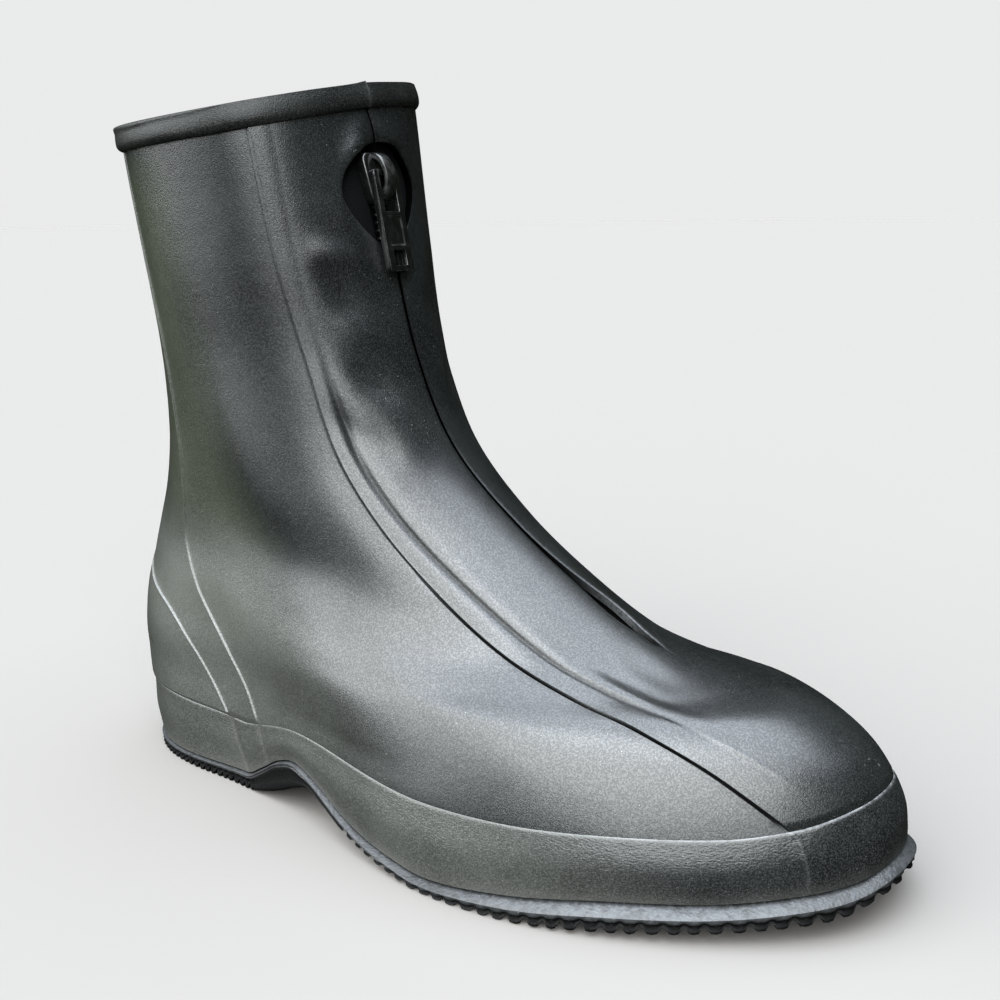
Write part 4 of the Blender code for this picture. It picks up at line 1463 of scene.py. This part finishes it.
    def flank(self, side: float, shares: Array, gaps: Array) -> tuple[Array, Array, Array]:
        """One side of the sole.

        Args:
            side: -1 for lateral, 1 for medial.
            shares: Shares of that side's half girth from the front.
            gaps: How deep in a gap between teeth each lies.

        Returns:
            Points, wear and painted shade, columns by places.
        """
        edge, inward = self.edge(shares, side)
        along, ring = edge[:, 0], LAST.ring(0.0)
        seat = ring.at(side * shares * ring.half(np.array(side)))[:, 2] - self.seat
        rubbed = (0.45 + 0.55 * rise(along, *self.toe_wear)) * (1 - 0.4 * rise(along, *self.tip_clean))
        columns, wear, dark = [], [], []
        for way, height, worn, black in self.profile(along, seat, gaps):
            point = edge + way[:, None] * inward
            point[:, 2] = height
            columns.append(point)
            wear.append(worn * rubbed)
            dark.append(black + 0 * along)
        return np.array(columns), np.array(wear), np.array(dark)

    def build(self) -> bmesh.types.BMesh:
        """Loft the closed loops from heel to toe.

        Returns:
            The closed sole.
        """
        shares, gaps = self.stations()
        lateral, lateral_wear, lateral_dark = self.flank(-1.0, shares, gaps)
        medial, medial_wear, medial_dark = self.flank(1.0, shares, gaps)
        across = np.linspace(0, 1, self.inner_columns + 2)[1:-1, None, None]
        under = lateral[-1] + (medial[-1] - lateral[-1]) * across
        along = under[..., 0]
        under[..., 2] = LAST.station(along, "floor") + self.tooth_deep * self.lug_gap(along)
        back = np.linspace(0, 1, self.top_columns + 2)[1:, None, None]
        over = medial[0] + (lateral[0] - medial[0]) * back
        plain, bare = np.zeros(under.shape[:2]), np.zeros(over.shape[:2])
        loop = np.concatenate([lateral, under, medial[::-1], over])
        wear = np.concatenate([lateral_wear, plain, medial_wear[::-1], bare])
        dark = np.concatenate([lateral_dark, plain + self.tread_dark, medial_dark[::-1], bare])
        bm = sheet(np.swapaxes(loop, 0, 1), {"edge": wear.T, "painted_shade": dark.T})
        bmesh.ops.remove_doubles(bm, verts=bm.verts[:], dist=MERGE)
        bmesh.ops.dissolve_degenerate(bm, edges=bm.edges[:], dist=1e-7)
        bmesh.ops.recalc_face_normals(bm, faces=bm.faces[:])
        return bm

    def dress(self) -> list[bpy.types.Material]:
        """Matt rubber, worn grey along the edge, with painted shade on the teeth and in the tread."""
        return [SOLE_RUBBER.material()]


@dataclass
class ZipTape(Piece):
    """Woven tape behind the slit, with a channel for the chain."""

    name: ClassVar[str] = "zip_tape_weave"
    node: ClassVar[str] = "zip_tape"
    slot: ClassVar[Slot] = Slot.TAPE

    half: float = 33.0
    thick: float = 0.9
    wall: float = 2.0
    gap: float = 0.3
    channel: float = 3.4
    channel_deep: float = 2.0
    channel_ramp: float = 1.4
    channel_edge: float = 1.6
    channel_columns: int = 12
    flat_start: float = 6.0
    flat_columns: int = 24
    lines: int = 110

    def build(self) -> bmesh.types.BMesh:
        """Shape the tape as one wall.

        Returns:
            The closed wall.
        """
        rows = np.linspace(ZIP_END_ROW, BAND_ROW, self.lines)
        channel = np.linspace(0, self.channel + self.channel_edge, self.channel_columns)[1:]
        side = np.concatenate([channel, np.linspace(self.flat_start, self.half, self.flat_columns)])
        girths = np.concatenate([-side[::-1], [0.0], side])
        deep = rise(np.abs(girths), self.channel + self.channel_ramp, -self.channel_ramp)
        face = -self.wall - self.gap - self.channel_deep * deep
        outer = np.array([LAST.points(row, girths, face) for row in rows])
        inner = np.array([LAST.points(row, girths, face - self.thick) for row in rows])
        return shell(outer, inner, {})

    def dress(self) -> list[bpy.types.Material]:
        """Black woven cloth on both faces."""
        return [TAPE_CLOTH.material(), TAPE_CLOTH.material()]


@dataclass
class ZipChain(Piece):
    """Closed chain: teeth from both sides in turn."""

    name: ClassVar[str] = "zip_teeth"
    node: ClassVar[str] = "zip_chain"
    slot: ClassVar[Slot] = Slot.CHAIN

    start_row: float = 6.2
    top: float = 227.0
    pitch: float = 1.35
    wide: float = 3.1
    aside: float = 0.65
    tall: float = 1.0
    front: float = -2.3
    thick: float = 1.7
    corner: float = 0.22
    samples: int = 500

    def build(self) -> bmesh.types.BMesh:
        """Set bevelled teeth along the front centre.

        Returns:
            All the teeth.
        """
        rows = np.linspace(self.start_row, LAST.front_row(self.top), self.samples)
        line = np.array([LAST.points(row, np.zeros(1), self.front - self.thick / 2)[0] for row in rows])
        places = np.concatenate([[0], np.cumsum(np.linalg.norm(np.diff(line, axis=0), axis=1))])
        bm = bmesh.new()
        for number, place in enumerate(np.arange(self.tall, places[-1] - self.tall, self.pitch)):
            row = float(np.interp(place, places, rows))
            aside = self.aside * (-1) ** number
            point = LAST.points(row, np.array([aside]), self.front - self.thick / 2)[0]
            out = Vector(LAST.normals(row, np.zeros(1))[0])
            across = Vector((0.0, 1.0, 0.0))
            up = out.cross(across).normalized()
            turn = Matrix((across, out, up)).transposed().to_4x4()
            size = Matrix.Diagonal((self.wide * MM, self.thick * MM, self.tall * MM, 1.0))
            bmesh.ops.create_cube(bm, size=1.0, matrix=Matrix.Translation(LAST.placed(point)) @ turn @ size)
        bmesh.ops.bevel(bm, geom=bm.edges[:], offset=self.corner * MM, segments=1, profile=0.5,
                        affect="EDGES", material=-1)
        bmesh.ops.recalc_face_normals(bm, faces=bm.faces[:])
        return bm

    def dress(self) -> list[bpy.types.Material]:
        """Black moulded plastic."""
        return [CHAIN_PLASTIC.material()]


@dataclass
class SliderPlace:
    """Slider's own frame at the front centre: across, out and up."""

    height: float = 219.5
    across: float = 1.0
    pin_out: float = 3.1
    pin_up: float = 1.5
    lean: float = math.radians(-0.3)

    def frame(self) -> Matrix:
        """Frame of the slider's body.

        Returns:
            Matrix in metres.
        """
        row = LAST.front_row(self.height)
        out = Vector(LAST.normals(row, np.zeros(1))[0])
        out.y = 0.0
        out.normalize()
        across = Vector((0.0, -1.0, 0.0))
        turn = Matrix((across, out, across.cross(out))).transposed().to_4x4()
        front = Vector(LAST.placed(LAST.ring(row).at(np.zeros(1))[0]))
        turn.translation = front + across * self.across * MM
        return turn

    def pin(self) -> Matrix:
        """Frame of the pull on its pin line."""
        return (self.frame() @ Matrix.Translation((0.0, self.pin_out * MM, self.pin_up * MM))
                @ Matrix.Rotation(self.lean, 4, "X"))


def rub(faces: Sequence[bmesh.types.BMFace]) -> None:
    """Give faces the rubbed finish, the second material."""
    for face in faces:
        face.material_index = 1


@dataclass
class Slider(Piece):
    """Slider body with shoulders and the strap bridge that the pull hangs on."""

    name: ClassVar[str] = "zip_slider_body"
    node: ClassVar[str] = "zip_slider"
    slot: ClassVar[Slot] = Slot.METAL

    place: SliderPlace
    wide: float = 14.0
    tall: float = 17.5
    back: float = -2.0
    front: float = 1.1
    taper: float = 0.72
    bridge_wide: float = 5.0
    bridge_thick: float = 1.6
    bridge_radius: float = 5.3
    bridge_stretch: float = 1.35
    bridge_up: float = 0.5
    bridge_sunk: float = 0.5
    bridge_corner: float = 0.4
    bridge_steps: int = 18
    shoulder: float = 2.6
    plate_inset: float = 1.5
    plate_rise: float = 0.35
    edge_round: float = 0.45
    sharp: float = math.radians(35)

    def body_block(self, bm: bmesh.types.BMesh) -> None:
        """Tapered body with a raised middle plate and round edges.

        Args:
            bm: Empty mesh that takes the body.
        """
        deep = self.front - self.back
        middle = Matrix.Translation((0.0, (self.back + self.front) / 2 * MM, 0.0))
        size = Matrix.Diagonal((self.wide * MM, deep * MM, self.tall * MM, 1.0))
        bmesh.ops.create_cube(bm, size=1.0, matrix=middle @ size)
        for vert in bm.verts:
            if vert.co.z < 0:
                vert.co.x *= self.taper
        corners = [edge for edge in bm.edges
                   if abs(edge.verts[0].co.y - edge.verts[1].co.y) > deep * 0.9 * MM]
        bmesh.ops.bevel(bm, geom=corners, offset=self.shoulder * MM, segments=4, profile=0.5,
                        affect="EDGES", material=-1)
        plate = max(bm.faces, key=lambda face: face.calc_center_median().y)
        bmesh.ops.inset_region(bm, faces=[plate], thickness=self.plate_inset * MM, depth=0.0)
        bmesh.ops.translate(bm, verts=plate.verts[:], vec=(0.0, self.plate_rise * MM, 0.0))
        sharp = [edge for edge in bm.edges if edge.calc_face_angle(0.0) > self.sharp]
        made = bmesh.ops.bevel(bm, geom=sharp, offset=self.edge_round * MM, segments=2, profile=0.5,
                               affect="EDGES", material=-1)
        rub(made["faces"])

    def bridge(self) -> bmesh.types.BMesh:
        """Strap arched over the body, spun from its cross section.

        Returns:
            The closed strap in the slider's frame, in the rubbed finish.
        """
        bm = bmesh.new()
        middle = Matrix.Translation((0.0, 0.0, self.bridge_radius * MM))
        size = Matrix.Diagonal((self.bridge_wide * MM, self.bridge_thick * MM, 1.0, 1.0))
        bmesh.ops.create_grid(bm, x_segments=1, y_segments=1, size=0.5,
                              matrix=middle @ Matrix.Rotation(math.pi / 2, 4, "X") @ size)
        bmesh.ops.bevel(bm, geom=bm.verts[:], offset=self.bridge_corner * MM, segments=2, profile=0.5,
                        affect="VERTICES", material=-1)
        bmesh.ops.spin(bm, geom=[*bm.faces, *bm.edges, *bm.verts], cent=(0, 0, 0), axis=(1, 0, 0),
                       angle=-math.pi, steps=self.bridge_steps)
        bmesh.ops.contextual_create(bm, geom=[edge for edge in bm.edges if edge.is_boundary])
        stretch = Matrix.Diagonal((1.0, 1.0, self.bridge_stretch, 1.0))
        seat = Matrix.Translation((0.0, (self.front - self.bridge_sunk) * MM, self.bridge_up * MM))
        bmesh.ops.transform(bm, matrix=seat @ stretch, verts=bm.verts[:])
        rub(bm.faces[:])
        return bm

    def build(self) -> bmesh.types.BMesh:
        """Shape body and bridge in the slider's frame, then place them.

        Returns:
            Body and strap.
        """
        bm = bmesh.new()
        self.body_block(bm)
        strap, carrier = self.bridge(), bpy.data.meshes.new("strap")
        strap.to_mesh(carrier)
        strap.free()
        bm.from_mesh(carrier)
        bpy.data.meshes.remove(carrier)
        bmesh.ops.recalc_face_normals(bm, faces=bm.faces[:])
        bmesh.ops.transform(bm, matrix=self.place.frame(), verts=bm.verts[:])
        return bm

    def dress(self) -> list[bpy.types.Material]:
        """Gloss enamel, greyer on the strap."""
        return [METAL_ENAMEL.material(), METAL_RUBBED.material()]


@dataclass
class PullTab(Piece):
    """Flat pull with rails, a slot for the bridge, a sunk middle panel and a small window."""

    name: ClassVar[str] = "zip_pull_tab"
    node: ClassVar[str] = "zip_pull"
    slot: ClassVar[Slot] = Slot.METAL
    body: ClassVar[Body] = Body.PULL_TAB

    place: SliderPlace
    wide: float = 12.6
    long: float = 34.5
    thick: float = 2.4
    top: float = 1.05
    slot_wide: float = 7.6
    slot_long: float = 12.2
    window_wide: float = 6.0
    window_long: float = 5.2
    window_foot: float = 2.0
    corner: float = 1.2
    sunk: float = 0.45
    land: float = 1.6
    panel_inset: float = 0.25
    edge_round: float = 0.3
    sharp: float = math.radians(50)

    @staticmethod
    def inside(face: bmesh.types.BMFace, half: float, low: float, high: float) -> bool:
        """Whether a face's middle lies within a half width and between two heights."""
        middle = face.calc_center_median() / MM
        return abs(middle.x) < half and low < middle.z < high

    def build(self) -> bmesh.types.BMesh:
        """Cut a grid's slot and window, thicken it, sink its panel and round its edges.

        Returns:
            The closed tab.
        """
        foot = self.top - self.long
        window_low, slot_low = foot + self.window_foot, -self.top - self.slot_long
        window_top = window_low + self.window_long
        panel_low, panel_top = window_top + self.land, slot_low - self.land
        side = (self.window_wide / 2, self.slot_wide / 2, self.wide / 2)
        xs = [-side[2], -side[1], -side[0], *side]
        zs = [foot, window_low, window_top, panel_low, panel_top, slot_low, -self.top, self.top]
        bm = bmesh.new()
        bmesh.ops.create_grid(bm, x_segments=len(xs) - 1, y_segments=len(zs) - 1, size=1.0)
        for vert in bm.verts:
            column, line = lattice_place(vert, len(xs), len(zs))
            vert.co = (xs[column] * MM, self.thick / 2 * MM, zs[line] * MM)
        cut = [face for face in bm.faces if self.inside(face, side[1], slot_low, -self.top)
               or self.inside(face, side[0], window_low, window_top)]
        bmesh.ops.delete(bm, geom=cut, context="FACES")
        bmesh.ops.recalc_face_normals(bm, faces=bm.faces[:])
        front = bm.faces[:]
        if front[0].normal.y < 0:
            bmesh.ops.reverse_faces(bm, faces=front)
        made = bmesh.ops.extrude_face_region(bm, geom=front)
        back = [item for item in made["geom"] if isinstance(item, bmesh.types.BMVert)]
        bmesh.ops.translate(bm, verts=back, vec=(0.0, -self.thick * MM, 0.0))
        bmesh.ops.recalc_face_normals(bm, faces=bm.faces[:])
        corners = [edge for edge in bm.edges if edge.calc_face_angle(0.0) > 1.0
                   and all(abs(abs(vert.co.x) - side[2] * MM) < MERGE for vert in edge.verts)
                   and abs(edge.verts[0].co.y - edge.verts[1].co.y) > self.thick * 0.9 * MM]
        bmesh.ops.bevel(bm, geom=corners, offset=self.corner * MM, segments=4, profile=0.5,
                        affect="EDGES", material=-1)
        panel = [face for face in bm.faces if face.normal.y > 0.9
                 and self.inside(face, side[1], panel_low, panel_top)]
        bmesh.ops.inset_region(bm, faces=panel, thickness=self.panel_inset * MM, depth=-self.sunk * MM)
        sharp = [edge for edge in bm.edges if edge.calc_face_angle(0.0) > self.sharp]
        made = bmesh.ops.bevel(bm, geom=sharp, offset=self.edge_round * MM, segments=2, profile=0.5,
                               affect="EDGES", material=-1, clamp_overlap=True)
        rub(made["faces"])
        bmesh.ops.recalc_face_normals(bm, faces=bm.faces[:])
        bmesh.ops.transform(bm, matrix=self.place.pin(), verts=bm.verts[:])
        return bm

    def dress(self) -> list[bpy.types.Material]:
        """Gloss enamel with bright rubbed edges."""
        return [METAL_ENAMEL.material(), METAL_RUBBED.material()]


UPPER_RUBBER = Rubber("upper_pebbled_rubber", (0.0016, 0.0019, 0.0019), (0.0055, 0.0064, 0.0064),
                      (0.15, 0.155, 0.16))
FOXING_RUBBER = Rubber("foxing_wrinkled_rubber", (0.002, 0.0024, 0.0024), (0.007, 0.0078, 0.0075),
                       (0.24, 0.245, 0.25), roughness=0.32, specular=0.55, grain=0.6,
                       grain_stretch=(0.6, 0.6, 1.3), grain_strength=0.4, grain_distance=0.16, coarse=0.8,
                       specks=0.3, wear=0.5)
COLLAR_RUBBER = Rubber("collar_smooth_rubber", (0.002, 0.0025, 0.0022), (0.006, 0.007, 0.006),
                       (0.20, 0.205, 0.20), roughness=0.36, specular=0.22, grain_strength=0.5,
                       specks=0.3, painted_sparkle=0.06, wear=0.4)
SOLE_RUBBER = Rubber("sole_worn_rubber", (0.006, 0.006, 0.006), (0.012, 0.012, 0.012), (0.075, 0.08, 0.086),
                     roughness=0.42, specular=0.4, grain=0.9, grain_distance=0.3, coarse=0.8, specks=0.4,
                     wear=0.75, patchy=0.5)
LINING = Cloth("lining_knit", (0.010, 0.010, 0.011), (0.032, 0.032, 0.033), 1.1, 0.5)
# Black cloth made near black as painted shade where it shows in the slider's hole and the slit
TAPE_CLOTH = Cloth("tape_weave", (0.0010, 0.0010, 0.0011), (0.0032, 0.0032, 0.0035), 0.8, 0.7)
CHAIN_PLASTIC = Enamel("chain_plastic", (0.004, 0.004, 0.004), (0.012, 0.012, 0.012), 0.34)
METAL_ENAMEL = Enamel("zip_gloss_enamel", (0.003, 0.003, 0.003), (0.006, 0.006, 0.006), 0.16)
METAL_RUBBED = Enamel("zip_rubbed_enamel", (0.005, 0.005, 0.005), (0.022, 0.022, 0.021), 0.30)
FLOOR_PAINT = Paint("pale_floor", (0.1814, 0.1711, 0.1619))


@dataclass(frozen=True)
class SoftLight:
    """Wide soft light from far away, by compass angle and height in degrees."""

    name: str
    power: float
    turn: float
    height: float
    wide: float
    colour: Colour

    def direction(self) -> Vector:
        """Way toward the light.

        Returns:
            Unit vector.
        """
        turn, height = math.radians(self.turn), math.radians(self.height)
        level = math.cos(height)
        return Vector((level * math.cos(turn), level * math.sin(turn), math.sin(height)))


SOFT_LIGHTS = (
    SoftLight("back_side_softbox", 5.6, -138.0, 26.0, 62.0, (0.95, 0.99, 1.0)),
    SoftLight("front_side_softbox", 8.0, -68.0, 37.0, 64.0, (0.95, 0.99, 1.0)),
    SoftLight("overhead_softbox", 8.8, -90.0, 88.0, 74.0, (0.83, 0.905, 1.0)),
)


@dataclass
class Studio:
    """Pale floor, wide soft lights and the camera at the photo's place."""

    camera_place: tuple[float, float, float] = (0.26067, -0.35387, 0.20753)
    yaw: float = math.radians(124.491)
    pitch: float = math.radians(-12.234)
    roll: float = math.radians(-0.700)
    lens: float = 47.5
    sensor: float = 36.0
    clip_start: float = 0.01
    floor_half: float = 30.0
    around: tuple[float, float, float] = (0.016, 0.021, 0.012)
    backdrop: tuple[float, float, float] = (0.825, 0.828, 0.830)

    def floor(self) -> None:
        """Lay the pale floor."""
        bm = bmesh.new()
        bmesh.ops.create_grid(bm, x_segments=1, y_segments=1, size=self.floor_half)
        mesh = bpy.data.meshes.new("pale_floor")
        bm.to_mesh(mesh)
        bm.free()
        mesh.materials.append(FLOOR_PAINT.material())
        floor = bpy.data.objects.new("pale_floor", mesh)
        floor.visible_glossy = False
        bpy.context.scene.collection.objects.link(floor)

    def light(self) -> None:
        """Hang the wide soft lights and set the dim surroundings."""
        for soft in SOFT_LIGHTS:
            lamp = bpy.data.lights.new(soft.name, "SUN")
            lamp.energy, lamp.angle, lamp.color = soft.power, math.radians(soft.wide), soft.colour
            source = bpy.data.objects.new(soft.name, lamp)
            source.matrix_world = soft.direction().to_track_quat("Z", "Y").to_matrix().to_4x4()
            bpy.context.scene.collection.objects.link(source)
        world = bpy.data.worlds.new("surroundings")
        bpy.context.scene.world = world
        world.use_nodes = True
        nodes, links = world.node_tree.nodes, world.node_tree.links
        dim, pale, path, mix = (nodes["Background"], nodes.new("ShaderNodeBackground"),
                                nodes.new("ShaderNodeLightPath"), nodes.new("ShaderNodeMixShader"))
        dim.inputs["Color"].default_value = (*self.around, 1.0)
        pale.inputs["Color"].default_value = (*self.backdrop, 1.0)
        links.new(path.outputs["Is Camera Ray"], mix.inputs[0])
        links.new(dim.outputs[0], mix.inputs[1])
        links.new(pale.outputs[0], mix.inputs[2])
        links.new(mix.outputs[0], nodes["World Output"].inputs["Surface"])

    def camera(self) -> None:
        """Stand the camera where the photo was taken, turned to the one boot."""
        forward = Vector((math.cos(self.pitch) * math.cos(self.yaw),
                          math.cos(self.pitch) * math.sin(self.yaw), math.sin(self.pitch)))
        right = forward.cross(Vector((0.0, 0.0, 1.0))).normalized()
        up = right.cross(forward)
        cosine, sine = math.cos(self.roll), math.sin(self.roll)
        turned, raised = right * cosine + up * sine, up * cosine - right * sine
        data = bpy.data.cameras.new("camera")
        data.lens, data.sensor_width = self.lens, self.sensor
        data.clip_start = self.clip_start
        camera = bpy.data.objects.new("camera", data)
        camera.matrix_world = Matrix.LocRotScale(
            Vector(self.camera_place), Matrix((turned, raised, -forward)).transposed(), None)
        bpy.context.scene.collection.objects.link(camera)
        bpy.context.scene.camera = camera

    def set_up(self) -> None:
        """Make the whole stage."""
        self.floor()
        self.light()
        self.camera()
        bpy.context.scene.view_settings.view_transform = "Standard"


def main() -> None:
    """Build every sub-assembly in order, then the stage, and note the model's size."""
    logging.basicConfig(level=logging.INFO, format="%(name)s %(message)s")
    upper = Upper()
    place = SliderPlace()
    pieces: list[Piece] = [upper, Foxing(upper), CollarBand(upper), Outsole(), ZipTape(), ZipChain(),
                           Slider(place), PullTab(place)]
    for piece in pieces:
        piece.add()
    Studio().set_up()


if __name__ == "__main__":
    main()
